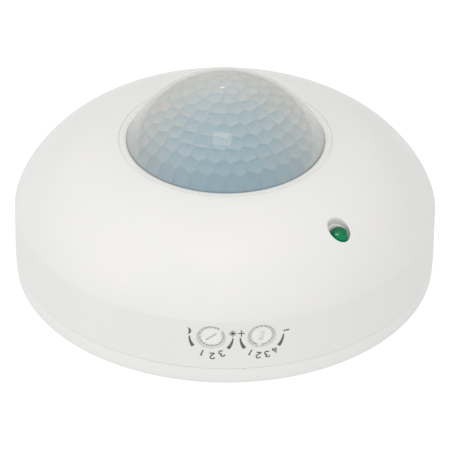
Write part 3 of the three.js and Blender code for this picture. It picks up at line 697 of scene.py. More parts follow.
def cover_mesh():
    # profile from the foot, up the outside, over the rim, and down the inside
    prof, tags = [], []

    def add(r, z, tag):
        prof.append((r, z))
        tags.append(tag)

    for k in range(4):                                          # rolled lower edge
        t = PI / 2 * k / 3
        add(skirt_r(FOOT) - 0.06 * (1 - math.sin(t)), FOOT + 0.06 * (1 - math.cos(t)), "edge")
    for z in SKIRT_Z:
        add(skirt_r(z), z, ("skirt", z))
    # soft crease at the top of the skirt
    up = np.array([skirt_r(SKIRT_TOP) - skirt_r(18.95), SKIRT_TOP - 18.95])
    corner = rounded([(skirt_r(18.95), 18.95), (57.50, 19.38), (57.26, 20.05)], {1: 1.6}, 5, False)[1:-1]
    for r, z in corner:
        add(r, z, "crease")
    steep = [57.16, 57.0, 56.8, 56.55, 56.25, 55.9, 55.5, 55.05, 54.55, 54.0, 53.4, 52.7, 51.9]
    for r in steep:
        add(r, float(shoulder_z(r)), "top")
    for r in LED_BAND:
        add(r, float(shoulder_z(r)), ("led", r))
    for r in [40.0, 38.8, 37.5, 36.2, 34.9, 33.6, 32.3, 31.0, 30.0, 29.3]:
        add(r, float(shoulder_z(r)), "top")
    for k in range(1, 4):                                       # rolled edge of the opening
        t = PI / 2 * k / 3
        add(RIM_R + 0.16 * (1 - math.sin(t)), RIM_Z - 0.16 * (1 - math.cos(t)), "rim")
    add(RIM_R, 37.8, "rim")
    add(RIM_R, 36.95, "rim")
    for r in [28.95, 30.0, 31.5, 33.0, 34.5, 36.0, 37.5, 39.0, 40.2]:
        add(r, float(inside_z(r)), "in")
    for r in LED_BAND[::-1]:
        add(r, float(inside_z(r)), ("ledin", r))
    for r in [51.8, 52.6, 53.3, 53.9, 54.4, 54.85]:
        add(r, float(inside_z(r)), "in")
    for z in SKIRT_Z[::-1]:
        add(inner_r(z), z, ("wall", z))
    add(inner_r(FOOT), FOOT + 0.15, "in")
    add(inner_r(FOOT) + 0.15, FOOT, "in")

    P = np.array(prof)
    NP = len(P)
    az = np.radians(az_lines)
    V = np.zeros((NP, NA, 3))
    R = np.repeat(P[:, 0][:, None], NA, 1)
    Z = np.repeat(P[:, 1][:, None], NA, 1)
    absaz = np.abs(az_lines)
    for j, tag in enumerate(tags):
        z = P[j, 1]
        outer = tag == "edge" or (isinstance(tag, tuple) and tag[0] == "skirt")
        if not outer:
            continue
        # conduit knock-out each side: an outline let into the wall, and a small pry notch beside it
        line = ((np.abs(absaz - 60.5) < 1e-6) | (np.abs(absaz - 75.0) < 1e-6)) & (z <= 13.505)
        if abs(z - 13.5) < 1e-6:
            line |= (absaz >= 60.49) & (absaz <= 75.01)
        notch = (np.abs(absaz - 55.5) < 1e-6) & (z <= 5.605)
        if abs(z - 5.6) < 1e-6:
            notch |= (absaz >= 55.49) & (absaz <= 60.51)
        R[j, line | notch] -= GROOVE
    V[..., 0] = R * np.sin(az)
    V[..., 1] = -R * np.cos(az)
    V[..., 2] = Z
    verts = [V.reshape(-1, 3)]
    count = NP * NA
    removed = set()
    faces = []

    def vid(j, i):
        return (j % NP) * NA + (i % NA)

    def cut_block(i0, i1, j0, j1):
        """Leaves out the cells between azimuth lines i0..i1 and profile rows j0..j1; returns the loop round it."""
        for j in range(j0, j1):
            for i in range(i0, i1):
                removed.add((j % NP, i % NA))
        loop = [(j0, i) for i in range(i0, i1)] + [(j, i1) for j in range(j0, j1)]
        loop += [(j1, i) for i in range(i1, i0, -1)] + [(j, i0) for j in range(j1, j0, -1)]
        return loop

    def add_loop(points):
        nonlocal count
        ids = list(range(count, count + len(points)))
        verts.append(np.array(points, float))
        count += len(points)
        return ids

    def sew(a, b):
        n = len(a)
        for k in range(n):
            l = (k + 1) % n
            faces.append((a[k], a[l], b[l], b[k]))

    rows = {t: j for j, t in enumerate(tags) if isinstance(t, tuple)}

    # knob holes
    def knob_hole(phi):
        i0, i1 = index_az(phi - 4.5), index_az(phi + 4.5)
        c = math.radians(phi)
        n = np.array([math.sin(c), -math.cos(c), 0.0])
        t = np.array([math.cos(c), math.sin(c), 0.0])
        up = np.array([0.0, 0.0, 1.0])

        def place(u, v, surf, depth):
            z = KNOB_Z + v
            r = surf(z)
            return n * (math.sqrt(max(r * r - u * u, 0)) - depth) + t * u + up * z

        jo0, jo1 = rows[("skirt", 9.5)], rows[("skirt", 18.95)]
        loop = cut_block(i0, i1, jo0, jo1)
        ids = [vid(j, i) for j, i in loop]
        start = V.reshape(-1, 3)[ids]
        uv = np.column_stack([start @ t, start[:, 2] - KNOB_Z])
        ang = np.arctan2(uv[:, 1], uv[:, 0])
        lip = [(3.95, 0.0), (3.86, 0.01), (3.80, 0.05), (3.765, 0.13), (3.74, 0.28), (3.71, 0.55), (3.67, 0.78), (3.56, 0.94), (3.27, 1.02)]
        prev = ids
        for s in (0.3, 0.6, 0.85, 1.0):
            pts = []
            for (u, v), a in zip(uv, ang):
                cu, cv = lip[0][0] * math.cos(a), lip[0][0] * 0.955 * math.sin(a)
                pts.append(place(u + (cu - u) * s, v + (cv - v) * s, skirt_r, 0.0))
            new = add_loop(pts)
            sew(prev, new)
            prev = new
        for rho, d in lip[1:]:
            oval = 1 - 0.045 * min(1.0, (rho - 3.27) / 0.45)
            new = add_loop([place(rho * math.cos(a), rho * oval * math.sin(a), skirt_r, d) for a in ang])
            sew(prev, new)
            prev = new
        for d in (1.4, 1.8):
            new = add_loop([place(3.27 * math.cos(a), 3.27 * math.sin(a), skirt_r, d) for a in ang])
            sew(prev, new)
            prev = new
        inner = add_loop([place(KNOB_HOLE * math.cos(a), KNOB_HOLE * math.sin(a), inner_r, 0.0) for a in ang])
        sew(prev, inner)
        ji0, ji1 = rows[("wall", 18.95)], rows[("wall", 9.5)]
        for j in range(ji0, ji1):
            for i in range(i0, i1):
                removed.add((j, i))
        # the same loop on the inner wall, in the same order
        back = []
        for j, i in loop:
            z = tags[j][1]
            back.append(vid(rows[("wall", z)], i))
        sew(inner, back)

    knob_hole(KNOB_AZ)
    knob_hole(-KNOB_AZ)

    # lamp bore
    cx, cy = azdir(LED_AZ) * LED_ORBIT
    i0, i1 = index_az(31), index_az(42)
    jo0, jo1 = rows[("led", LED_BAND[0])], rows[("led", LED_BAND[-1])]
    loop = cut_block(i0, i1, jo0, jo1)
    ids = [vid(j, i) for j, i in loop]
    start = V.reshape(-1, 3)[ids]
    rel = start[:, :2] - np.array([cx, cy])
    ang = np.arctan2(rel[:, 1], rel[:, 0])
    f = 0.36
    prev = ids

    def top(x, y):
        return float(shoulder_z(math.hypot(x, y)))

    for s in (0.3, 0.6, 0.85, 1.0):
        pts = []
        for (x, y), a in zip(start[:, :2], ang):
            gx, gy = cx + (LED_BORE + f) * math.cos(a), cy + (LED_BORE + f) * math.sin(a)
            px, py = x + (gx - x) * s, y + (gy - y) * s
            pts.append((px, py, top(px, py)))
        new = add_loop(pts)
        sew(prev, new)
        prev = new
    for k in range(1, 6):
        b = PI / 2 * k / 5
        rho, d = LED_BORE + f * (1 - math.sin(b)), f * (1 - math.cos(b))
        pts = []
        for a in ang:
            px, py = cx + rho * math.cos(a), cy + rho * math.sin(a)
            pts.append((px, py, top(px, py) - d))
        new = add_loop(pts)
        sew(prev, new)
        prev = new
    top_ring = [verts[-1][k][2] for k in range(len(ang))]
    ledge = [max(z - 1.75, 30.55) for z in top_ring]
    for s in (0.5, 1.0):
        new = add_loop([(cx + LED_BORE * math.cos(a), cy + LED_BORE * math.sin(a), z + (l - z) * s) for a, z, l in zip(ang, top_ring, ledge)])
        sew(prev, new)
        prev = new
    for rho, dz in ((2.87, -0.06), (2.70, -0.06), (2.64, -0.10)):
        new = add_loop([(cx + rho * math.cos(a), cy + rho * math.sin(a), l + dz) for a, l in zip(ang, ledge)])
        sew(prev, new)
        prev = new
    # countersink that closes in on the lamp
    close = [min(l - 0.30, 31.30) for l in ledge]
    new = add_loop([(cx + 2.395 * math.cos(a), cy + 2.395 * math.sin(a), z) for a, z in zip(ang, close)])
    sew(prev, new)
    prev = new
    for s in (0.5, 1.0):
        new = add_loop([(cx + 2.395 * math.cos(a), cy + 2.395 * math.sin(a), z + (LED_TUBE_FOOT - z) * s) for a, z in zip(ang, close)])
        sew(prev, new)
        prev = new
    new = add_loop([(cx + LED_TUBE * math.cos(a), cy + LED_TUBE * math.sin(a), LED_TUBE_FOOT) for a in ang])
    sew(prev, new)
    prev = new
    pts = []
    for a in ang:
        px, py = cx + LED_TUBE * math.cos(a), cy + LED_TUBE * math.sin(a)
        pts.append((px, py, float(inside_z(math.hypot(px, py)))))
    new = add_loop(pts)
    sew(prev, new)
    back = []
    for j, i in loop:
        back.append(vid(rows[("ledin", tags[j][1])], i))
    sew(new, back)
    for j in range(rows[("ledin", LED_BAND[-1])], rows[("ledin", LED_BAND[0])]):
        for i in range(i0, i1):
            removed.add((j, i))

    for j in range(NP):
        for i in range(NA):
            if (j, i % NA) in removed:
                continue
            faces.append((vid(j, i), vid(j, i + 1), vid(j + 1, i + 1), vid(j + 1, i)))
    return np.vstack(verts), faces


def cover_fittings():
    """Lens collar, screw bosses and bayonet lugs inside the cover."""
    parts = []
    collar = rounded([(31.2, 30.5), (32.6, 30.5), (32.6, 37.2), (31.2, 37.2)], {0: 0.25, 1: 0.25}, 3)
    parts.append(lathe(collar, 160))
    for a in (0, 120, 240):
        x, y = azdir(a) * 37.5
        ring = rounded([(1.6, 31.4), (1.6, 20.9), (3.2, 20.9), (3.2, float(inside_z(37.5)) + 0.4)], {1: 0.3, 2: 0.3}, 3, False)
        closed_ring = np.vstack([ring, [(0.0, float(inside_z(37.5)) + 0.4)], [(0.0, 31.4)]])
        v, f = lathe(closed_ring, 36)
        parts.append((v + np.array([x, y, 0]), f))
    for a in (60, 180, 300):
        parts.append(prism(arc_outline(53.6, 55.75, a, 7.0), 6.0, 7.6, 0.2, 2, True))
        # gussets that stiffen each lug from above, outside the path of the base's lips
        for d in (-5.6, 5.6):
            parts.append(prism(arc_outline(55.22, 55.75, a + d, 0.5, 4), 7.5, 9.6, 0.12, 2))
    return merge(*parts)


cover = obj("cover_shell_fine", *merge(cover_mesh(), cover_fittings()), M["cover_plastic"], sharp=50.0)
put(cover, "head", "cover_plastic", "cover_shell")

# =====================================================================================
# lens group
# =====================================================================================

bez = rounded(
    [(26.74, 34.4), (30.9, 34.4), (30.9, 36.45), (28.73, 36.45), (28.73, 38.70), (28.56, 38.71), (28.50, 38.84), (26.88, 38.52), (26.86, 38.28), (26.74, 38.26)],
    {0: 0.15, 1: 0.2, 2: 0.2, 5: 0.04, 6: 0.04, 7: 0.13, 8: 0.07}, 4)
put(obj("lens_bezel_fine", *lathe(bez, 256), M["bezel_plastic"], sharp=50.0), "head", "bezel_plastic", "lens_bezel")

DOME_R, THETA_EDGE = 29.2, math.radians(66.2)


def dome_skin():
    outer = [(DOME_R * math.sin(t), CENTRE_Z + DOME_R * math.cos(t)) for t in np.linspace(0, THETA_EDGE, 72)]
    outer += [(26.70, 38.2), (26.70, 34.35), (26.85, 34.2), (30.65, 34.2), (30.8, 34.05), (30.8, 33.6)]
    inner = [(30.6, 33.6), (30.6, 34.0), (26.7, 34.0), (26.55, 34.0), (26.55, 38.2)]
    ri = DOME_R - 0.14
    inner += [(ri * math.sin(t), CENTRE_Z + ri * math.cos(t)) for t in np.linspace(math.radians(65.9), 0, 72)]
    return lathe(outer + inner, 240, closed=False)


def dome_core():
    """Lenslets: cells round each seed direction on the sphere, each hollowed to a shallow dish."""
    rows = [(0.0, 1, 0.0), (6.9, 6, 20.0), (13.6, 11, 3.0), (20.5, 15, 10.0), (27.4, 20, 3.0), (34.2, 24, 9.0), (40.9, 28, 4.0),
            (47.4, 31, 1.5), (54.0, 34, 5.294), (60.6, 34, 1.6)]
    ghost = [(73.3, 34, 1.6)]
    seeds, live = [], []
    for k, (th, n, ph) in enumerate(rows + ghost):
        for i in range(n):
            az = math.radians(ph + 360.0 * i / n)
            t = math.radians(th)
            seeds.append((math.sin(t) * math.sin(az), -math.sin(t) * math.cos(az), math.cos(t)))
            live.append(k < len(rows))
    seeds = np.array(seeds)
    R0 = DOME_R - 0.20
    verts, faces = [], []
    edge_attr, rand_attr = [], []
    MSEG = 3
    RHO = (0.34, 0.60, 0.78, 0.90, 1.0)
    MRING = len(RHO)
    boundary = []
    for s, ok in zip(seeds, live):
        if not ok:
            continue
        e2 = np.array([0, 0, 1.0]) - s * s[2]
        if np.linalg.norm(e2) < 1e-6:
            e2 = np.array([0, 1.0, 0])
        e2 /= np.linalg.norm(e2)
        e1 = np.cross(e2, s)
        near = np.argsort(-(seeds @ s))[1:20]
        poly = [np.array(p, float) for p in ((-0.3, -0.3), (0.3, -0.3), (0.3, 0.3), (-0.3, 0.3))]
        for q in near:
            nq = seeds[q]
            a = np.array([e1 @ nq, e2 @ nq])
            c = 1 - s @ nq
            out = []
            for i in range(len(poly)):
                p, r = poly[i], poly[(i + 1) % len(poly)]
                dp, dr = a @ p - c, a @ r - c
                if dp <= 1e-12:
                    out.append(p)
                if (dp < -1e-12 and dr > 1e-12) or (dp > 1e-12 and dr < -1e-12):
                    out.append(p + (r - p) * dp / (dp - dr))
            poly = out
        keep = [p for i, p in enumerate(poly) if np.linalg.norm(p - poly[i - 1]) > 1e-7]
        D = [s + e1 * p[0] + e2 * p[1] for p in keep]
        D = [d / np.linalg.norm(d) for d in D]
        loop = []
        for i in range(len(D)):
            a, b = D[i], D[(i + 1) % len(D)]
            for k in range(MSEG):
                p = a * (1 - k / MSEG) + b * (k / MSEG)
                loop.append(p / np.linalg.norm(p))
        loop = np.array(loop)
        c = sum(D) / len(D)
        c /= np.linalg.norm(c)
        area = np.mean([np.linalg.norm(p - c) for p in loop])
        depth = 0.38 * min(1.0, area / 0.066)
        base_i = len(verts)
        rnd = RNG.rand()
        verts.append(c * (R0 - depth))
        edge_attr.append(0.0)
        rand_attr.append(rnd)
        for rho in RHO:
            for p in loop:
                d = c * (1 - rho) + p * rho
                d /= np.linalg.norm(d)
                verts.append(d * (R0 - depth * (1 - rho**1.9)))
                edge_attr.append(rho)
                rand_attr.append(rnd)
        n = len(loop)
        for i in range(n):
            j = (i + 1) % n
            faces.append((base_i, base_i + 1 + i, base_i + 1 + j))
            for k in range(MRING - 1):
                a0, b0 = base_i + 1 + k * n, base_i + 1 + (k + 1) * n
                faces.append((a0 + i, b0 + i, b0 + j, a0 + j))
    me = bpy.data.meshes.new("lens_core")
    me.from_pydata((np.array(verts) * MM + np.array([0, 0, CENTRE_Z * MM])).tolist(), [], faces)
    for name, values in (("cell_edge", edge_attr), ("cell_rand", rand_attr)):
        at = me.attributes.new(name, "FLOAT", "POINT")
        at.data.foreach_set("value", np.array(values, np.float32))
    bm = bmesh.new()
    bm.from_mesh(me)
    bmesh.ops.remove_doubles(bm, verts=bm.verts, dist=2e-6)
    bmesh.ops.recalc_face_normals(bm, faces=bm.faces)
    # close the shell: neck, lower edge and a smooth inner skin
    low = (CENTRE_Z + R0 * math.cos(math.radians(62))) * MM
    rim = [e for e in bm.edges if e.is_boundary and max(v.co.z for v in e.verts) < low]
    print("lens core gaps", sum(e.is_boundary for e in bm.edges) - len(rim))
    for r_, z_ in ((26.42, None), (26.42, 34.6), (25.6, 34.6)):
        ext = bmesh.ops.extrude_edge_only(bm, edges=rim)
        vs = [g for g in ext["geom"] if isinstance(g, bmesh.types.BMVert)]
        rim = [g for g in ext["geom"] if isinstance(g, bmesh.types.BMEdge) and all(v in vs for v in g.verts)]
        for v in vs:
            k = r_ * MM / math.hypot(v.co.x, v.co.y)
            v.co.x *= k
            v.co.y *= k
            if z_ is not None:
                v.co.z = z_ * MM
            else:
                v.co.z -= 0.25 * MM
    for t in np.linspace(math.radians(63), math.radians(4), 14):
        ext = bmesh.ops.extrude_edge_only(bm, edges=rim)
        vs = [g for g in ext["geom"] if isinstance(g, bmesh.types.BMVert)]
        rim = [g for g in ext["geom"] if isinstance(g, bmesh.types.BMEdge) and all(v in vs for v in g.verts)]
        for v in vs:
            k = 27.9 * math.sin(t) * MM / math.hypot(v.co.x, v.co.y)
            v.co.x *= k
            v.co.y *= k
            v.co.z = (CENTRE_Z + 27.9 * math.cos(t)) * MM
    bmesh.ops.contextual_create(bm, geom=rim)
    bmesh.ops.recalc_face_normals(bm, faces=bm.faces)
    open_edges = sum(e.is_boundary for e in bm.edges)
    bm.to_mesh(me)
    bm.free()
    print("lens core open edges", open_edges)
    for p in me.polygons:
        p.use_smooth = True
    me.set_sharp_from_angle(angle=math.radians(17))
    me.materials.append(CORE)
    ob = bpy.data.objects.new("lens_lenslets", me)
    scene.collection.objects.link(ob)
    return ob


put(obj("lens_dome_skin", *dome_skin(), SKIN, sharp=50.0), "head", "lens_polyethylene", "lens_dome")
put(dome_core(), "head", "lens_polyethylene")

ret = rounded([(28.0, 30.7), (30.95, 30.7), (30.95, 32.45), (28.0, 32.45)], {i: 0.2 for i in range(4)}, 3)
put(obj("lens_retainer_fine", *lathe(ret, 160), M["inner_plastic"], sharp=50.0), "head", "inner_plastic", "lens_retainer")

# =====================================================================================
# status lamp
# =====================================================================================

lx, ly = azdir(LED_AZ) * LED_ORBIT


def lamp():
    prof = [(0.0, 25.0), (2.5, 25.0), (2.6, 25.1), (2.6, 25.9), (2.54, 26.0), (2.42, 26.0), (2.37, 26.08), (2.37, 29.0)]
    prof += [(2.37 * math.cos(t), 31.29 + 2.37 * math.sin(t)) for t in np.linspace(0, PI / 2, 18)]
    prof[-1] = (0.0, 33.66)
    v, f = lathe(prof, 48, closed=False)
    legs = [(lambda w: (w[0] + np.array([d, 0, 0]), w[1]))(lathe([(0, 17.8), (0.18, 17.83), (0.25, 17.95), (0.25, 25.3), (0, 25.3)], 12, False)) for d in (-1.27, 1.27)]
    v, f = merge((v, f), *legs)
    return v + np.array([lx, ly, 0]), f


led = obj("status_led_fine", *lamp(), M["lamp_epoxy"], sharp=50.0)
put(led, "head", "lamp_epoxy", "status_led")

# =====================================================================================
# knobs
# =====================================================================================


KNOB_R = 2.93


def knob(name, az, pointer, body, node, long_slot):
    """Serrated cap with a bevelled crown, a pointer tab, and a screwdriver slot; drawn about +Z, laid along its spoke."""
    teeth, per = 16, 10
    n = teeth * per
    a = np.linspace(0, 2 * PI, n, endpoint=False)
    wave = 0.5 + 0.5 * np.cos(a * teeth)
    edge = KNOB_R - 0.30 * (1 - wave) ** 1.4
    levels = [(0.25, 55.0, 0.0), (0.0, 55.2, 1.0), (0.0, 56.76, 1.0), (0.03, 56.87, 1.0), (0.11, 56.96, 1.0), (0.24, 57.00, 0.9), (0.50, 57.01, 0.7)]
    V, F = [], []
    for inset, z, w in levels:
        r = (KNOB_R * (1 - w) + edge * w) - inset
        V += [(rr * math.cos(t), rr * math.sin(t), z) for rr, t in zip(r, a)]
    for k in range(len(levels) - 1):
        for i in range(n):
            j = (i + 1) % n
            F.append((k * n + i, k * n + j, (k + 1) * n + j, (k + 1) * n + i))
    top = (len(levels) - 1) * n
    F.append(tuple(range(top, top + n)))
    F.append(tuple(reversed(range(n))))
    cap = obj(name + "_fine", V, F, M["knob_plastic"], sharp=40)
    stem_v, stem_f = lathe([(0, 45.8), (1.35, 45.8), (1.5, 45.95), (1.5, 55.4), (0, 55.4)], 36, False)
    stem = obj("tmp_stem", stem_v, stem_f, M["knob_plastic"])
    boolean(cap, stem, "UNION")
    fl_v, fl_f = lathe([(0, 54.98), (3.12, 54.98), (3.22, 55.08), (3.22, 56.36), (3.19, 56.43), (3.1, 56.46), (0, 56.46)], 96, False)
    boolean(cap, obj("tmp_flange", fl_v, fl_f, M["knob_plastic"]), "UNION")
    out = rounded([(0.0, 0.68), (0.0, -0.68), (3.46, -0.62), (3.46, 0.62)], {2: 0.34, 3: 0.34}, 5)
    arrow = obj("tmp_arrow", *prism(out, 56.30, 56.995), M["knob_plastic"])
    roll = arrow.modifiers.new("edge", "BEVEL")
    roll.width = 0.12 * MM
    roll.segments = 3
    roll.limit_method = "ANGLE"
    roll.angle_limit = math.radians(45)
    apply_modifiers(arrow)
    boolean(cap, arrow, "UNION")
    w, half = (0.27, 1.72) if long_slot else (0.60, 1.45)
    cut = obj("tmp_slot", *prism(rounded_rect(-half, half, -w, w, 0.16, 3), 56.62, 58.0), M["knob_plastic"])
    boolean(cap, cut, "DIFFERENCE")
    p = math.radians(pointer)
    c = math.radians(az)
    turn = Matrix.Rotation(p, 4, "Z")
    # local z goes outward along the spoke, local x to the viewer's right, local y up
    lay = Matrix(((math.cos(c), 0, math.sin(c), 0), (math.sin(c), 0, -math.cos(c), 0), (0, 1, 0, 0), (0, 0, 0, 1)))
    cap.data.transform(turn)
    cap.data.transform(lay)
    cap.data.transform(Matrix.Translation((0, 0, KNOB_Z * MM)))
    for q in cap.data.polygons:
        q.use_smooth = True
    cap.data.set_sharp_from_angle(angle=math.radians(34))
    weighted(cap)
    return put(cap, body, "knob_plastic", node)


knob("lux_knob", -KNOB_AZ, 38.5, "lux_dial", "lux_knob", True)
knob("time_knob", KNOB_AZ, -100.0, "time_dial", "time_knob", False)

# =====================================================================================
# printed scales, wrapped on the skirt
# =====================================================================================

SHIFT = math.radians(3.3) * 57.5


def wrap(points, lift):
    """(arc from the front centre, z) on the skirt to space; lift is how far it stands off the wall."""
    out = []
    for s, z in points:
        a = (s - SHIFT) / 57.6
        r = skirt_r(z) + lift
        out.append((r * math.sin(a), -r * math.cos(a), z))
    return out


def print_patch(tris2d, pts2d):
    """A thin printed film from a flat triangulation."""
    n = len(pts2d)
    V = wrap(pts2d, 0.028) + wrap(pts2d, -0.03)
    F = [tuple(t) for t in tris2d]
    count = {}
    for t in tris2d:
        for i in range(len(t)):
            e = (t[i], t[(i + 1) % len(t)])
            count[tuple(sorted(e))] = count.get(tuple(sorted(e)), []) + [e]
    F += [tuple(i + n for i in reversed(t)) for t in tris2d]
    for es in count.values():
        if len(es) == 1:
            a, b = es[0]
            F.append((b, a, a + n, b + n))
    return np.array(V), F


def strip(centre, width):
    """Ribbon of the given widths along a line."""
    c = np.array(centre, float)
    w = np.broadcast_to(width, len(c)) / 2
    t = np.gradient(c, axis=0)
    t /= np.linalg.norm(t, axis=1)[:, None]
    nrm = np.stack([-t[:, 1], t[:, 0]], 1)
    L, Rr = c + nrm * w[:, None], c - nrm * w[:, None]
    pts = np.vstack([L, Rr])
    n = len(c)
    return [(i, n + i, n + i + 1, i + 1) for i in range(n - 1)], pts


def blob(outline):
    pts = np.array(outline, float)
    c = pts.mean(0)
    n = len(pts)
    return [(n, i, (i + 1) % n) for i in range(n)], np.vstack([pts, c])


marks = []


def add_mark(t):
    marks.append(print_patch(*t))


def arc_pts(cx, cy, r, a0, a1, n=26):
    return [(cx + r * math.cos(math.radians(a)), cy + r * math.sin(math.radians(a))) for a in np.linspace(a0, a1, n)]


LUX, TIME = (-3.25, 14.80), (9.85, 14.65)
for (cx, cy), a0, a1 in ((LUX, 180.5, 214.5), (LUX, -3.5, -39.5), (TIME, 181.0, 217.5), (TIME, -1.0, -39.0)):
    r = 5.62 if a0 > 90 else 5.62
    line = arc_pts(cx, cy, r, a0, a1)
    add_mark(strip(line, np.linspace(0.30, 0.98, len(line))))

# crescent, horns to the left
mx, mz = -9.38, 16.22
horn = np.radians(np.linspace(-84, 84, 26))
outer = [(mx + 1.02 * math.cos(a), mz + 1.04 * math.sin(a)) for a in horn]
inner = [(mx + 0.36 * math.cos(a), mz + 1.04 * math.sin(a)) for a in horn]
add_mark(([(i, i + 1, 27 + i, 26 + i) for i in range(25)], np.array(outer + inner)))

# sun: short rays from a small middle
sx, sz = 2.32, 15.90
add_mark(blob([(sx + 0.30 * math.cos(a), sz + 0.30 * math.sin(a)) for a in np.linspace(0, 2 * PI, 20, endpoint=False)]))
for k in range(8):
    a = 2 * PI * k / 8
    add_mark(strip([(sx + q * math.cos(a), sz + q * math.sin(a)) for q in (0.26, 1.02 if k % 2 == 0 else 0.92)], np.array([0.24, 0.17])))
# plus and minus
add_mark(strip([(4.52 + d, 15.87) for d in (-0.84, 0.84)], 0.30))
add_mark(strip([(4.52, 15.87 + d) for d in (0.15, 0.98)], 0.30))
add_mark(strip([(4.52, 15.87 - d) for d in (0.15, 0.98)], 0.30))
add_mark(strip([(16.23 + d, 15.56 + 0.06 * d) for d in (-0.80, 0.80)], 0.36))

# numerals round the lower half of each dial, feet towards the dial
DIGITS = {
    "1": [[(-0.28, 0.52), (0.06, 0.8), (0.06, -0.8)]],
    "2": [[(-0.5, 0.42), (-0.36, 0.68), (0.0, 0.8), (0.36, 0.68), (0.48, 0.38), (0.36, 0.06), (-0.12, -0.38), (-0.5, -0.74)], [(-0.55, -0.74), (0.54, -0.74)]],
    "3": [[(-0.46, 0.56), (-0.2, 0.77), (0.16, 0.78), (0.44, 0.55), (0.40, 0.22), (0.06, 0.04), (0.46, -0.14), (0.52, -0.46), (0.24, -0.76), (-0.18, -0.78), (-0.5, -0.54)]],
    "4": [[(0.24, -0.8), (0.24, 0.78), (-0.52, -0.34), (0.58, -0.34)]],
}


def numeral(ch, at, centre):
    d = np.array(at) - np.array(centre)
    d /= np.linalg.norm(d)
    upv = d                       # tops point away from the dial's centre
    right = np.array([upv[1], -upv[0]])
    for path in DIGITS[ch]:
        p = np.array(path, float)
        dense = np.vstack([p[i] + (p[i + 1] - p[i]) * t for i in range(len(p) - 1) for t in (0, 0.5)] + [p[-1]])
        q = [tuple(np.array(at) + right * a * 1.16 + upv * b * 1.14) for a, b in dense]
        add_mark(strip(q, 0.34))


for ch, at in zip("123", [(-5.54, 9.62), (-2.90, 8.80), (-0.45, 9.62)]):
    numeral(ch, at, LUX)
for ch, at in zip("1234", [(6.90, 9.75), (9.00, 8.72), (11.30, 8.78), (13.30, 9.80)]):
    numeral(ch, at, TIME)
scales = obj("scale_prints", *merge(*marks), INK, sharp=40, fix=False)
bmf = bmesh.new()
bmf.from_mesh(scales.data)
bmesh.ops.recalc_face_normals(bmf, faces=bmf.faces)
bmf.to_mesh(scales.data)
bmf.free()
put(scales, "head", "cover_plastic")

# =====================================================================================
# base, grommet and seal
# =====================================================================================


def base_mesh():
    prof = [
        (9.0, 0.0), (57.69, 0.0), (57.75, 2.0), (57.82, 4.70), (55.55, 4.70), (55.55, 2.20), (53.2, 2.20), (53.2, 9.40), (51.4, 9.40), (51.4, 2.20),
        (10.6, 2.20), (10.6, 3.40), (9.0, 3.40)]
    radii = {0: 0.2, 1: 0.28, 3: 0.06, 4: 0.25, 5: 0.4, 6: 0.4, 7: 0.3, 8: 0.3, 9: 0.4, 10: 0.3, 11: 0.3, 12: 0.3}
    p = rounded(prof, radii, 3)
    # extra rings so that the outside wall carries its marks and the underside its ribs
    out = []
    for i in range(len(p)):
        a, b = p[i], p[(i + 1) % len(p)]
        out.append(a)
        L = np.linalg.norm(b - a)
        k = int(L // 2.6)
        for j in range(1, k):
            out.append(a + (b - a) * j / k)
    return lathe(out, 240)


base = obj("base_plate_fine", *base_mesh(), M["base_plastic"], sharp=50.0)
for s in (1, -1):
    x0, x1 = sorted((s * 21.8, s * 33.8))
    c = obj("tmp", *prism(stadium(x0, x1, 0, 4.6, 12), -1, 5), M["base_plastic"])
    boolean(base, c, "DIFFERENCE")
    c = obj("tmp", *prism(stadium(x0 - 2.4, x1 + 2.4, 0, 9.4, 14), 1.4, 5), M["base_plastic"])
    boolean(base, c, "DIFFERENCE")
# alignment ticks on the front of the foot
for az, z0, z1 in ((1.9, 4.25, 4.9), (0.6, -0.5, 0.5)):
    c = obj("tmp", *prism(arc_outline(57.6, 58.6, az, 0.2, 3), z0, z1), M["base_plastic"])
    boolean(base, c, "DIFFERENCE")
# shallow rings and ribs recessed into the ceiling face
c = obj("tmp", *lathe(rounded([(38.5, -0.6), (48.5, -0.6), (48.5, 0.55), (38.5, 0.55)], {2: 0.2, 3: 0.2}, 2), 200), M["base_plastic"])
for k in range(12):
    rib = obj("tmp_rib", *prism(arc_outline(37.5, 49.5, 15 + 30 * k, 0.95, 4), -2, 2), M["base_plastic"])
    boolean(c, rib, "DIFFERENCE")
boolean(base, c, "DIFFERENCE")
soften(base, 0.05, 35, 2, 40)


def lips():
    parts = []
    for a in (60, 180, 300):
        parts.append(prism(arc_outline(52.6, 55.1, a - 20, 9.0), 8.0, 9.4, 0.22, 2, True))
        parts.append(prism(arc_outline(52.6, 55.1, a - 29.5, 1.2, 5), 2.0, 9.4, 0.22, 2))
    return merge(*parts)


lip = obj("base_bayonet_lips", *lips(), M["base_plastic"], sharp=45)
put(base, "base", "base_plastic", "base_plate")
put(lip, "base", "base_plastic")

g = rounded(
    [(3.4, 1.3), (6.6, 1.3), (7.4, 0.4), (8.75, 0.4), (8.75, 3.65), (10.6, 3.65), (10.6, 4.45), (7.4, 4.45), (6.8, 2.1), (3.4, 2.1)],
    {0: 0.3, 1: 0.5, 2: 0.3, 3: 0.25, 4: 0.1, 5: 0.2, 6: 0.3, 7: 0.4, 8: 0.5, 9: 0.3}, 3)
put(obj("cable_grommet_fine", *lathe(g, 96), M["grommet_rubber"], sharp=60), "base", "grommet_rubber", "cable_grommet")

sr = rounded([(46.6, 2.4), (49.4, 2.4), (49.4, 4.6), (46.6, 4.6)], {i: 0.45 for i in range(4)}, 4)
put(obj("dust_seal_ring_fine", *lathe(sr, 200), M["seal_foam"], sharp=60), "seal", "seal_foam", "dust_seal_ring")

# =====================================================================================
# back plate and screws
# =====================================================================================


def back_mesh():
    p = rounded([(0, 5.0), (50.6, 5.0), (50.6, 8.4), (49.2, 8.4), (49.2, 6.2), (0, 6.2)], {1: 0.3, 2: 0.3, 3: 0.3, 4: 0.3}, 3)
    return lathe(p, 180, closed=False)


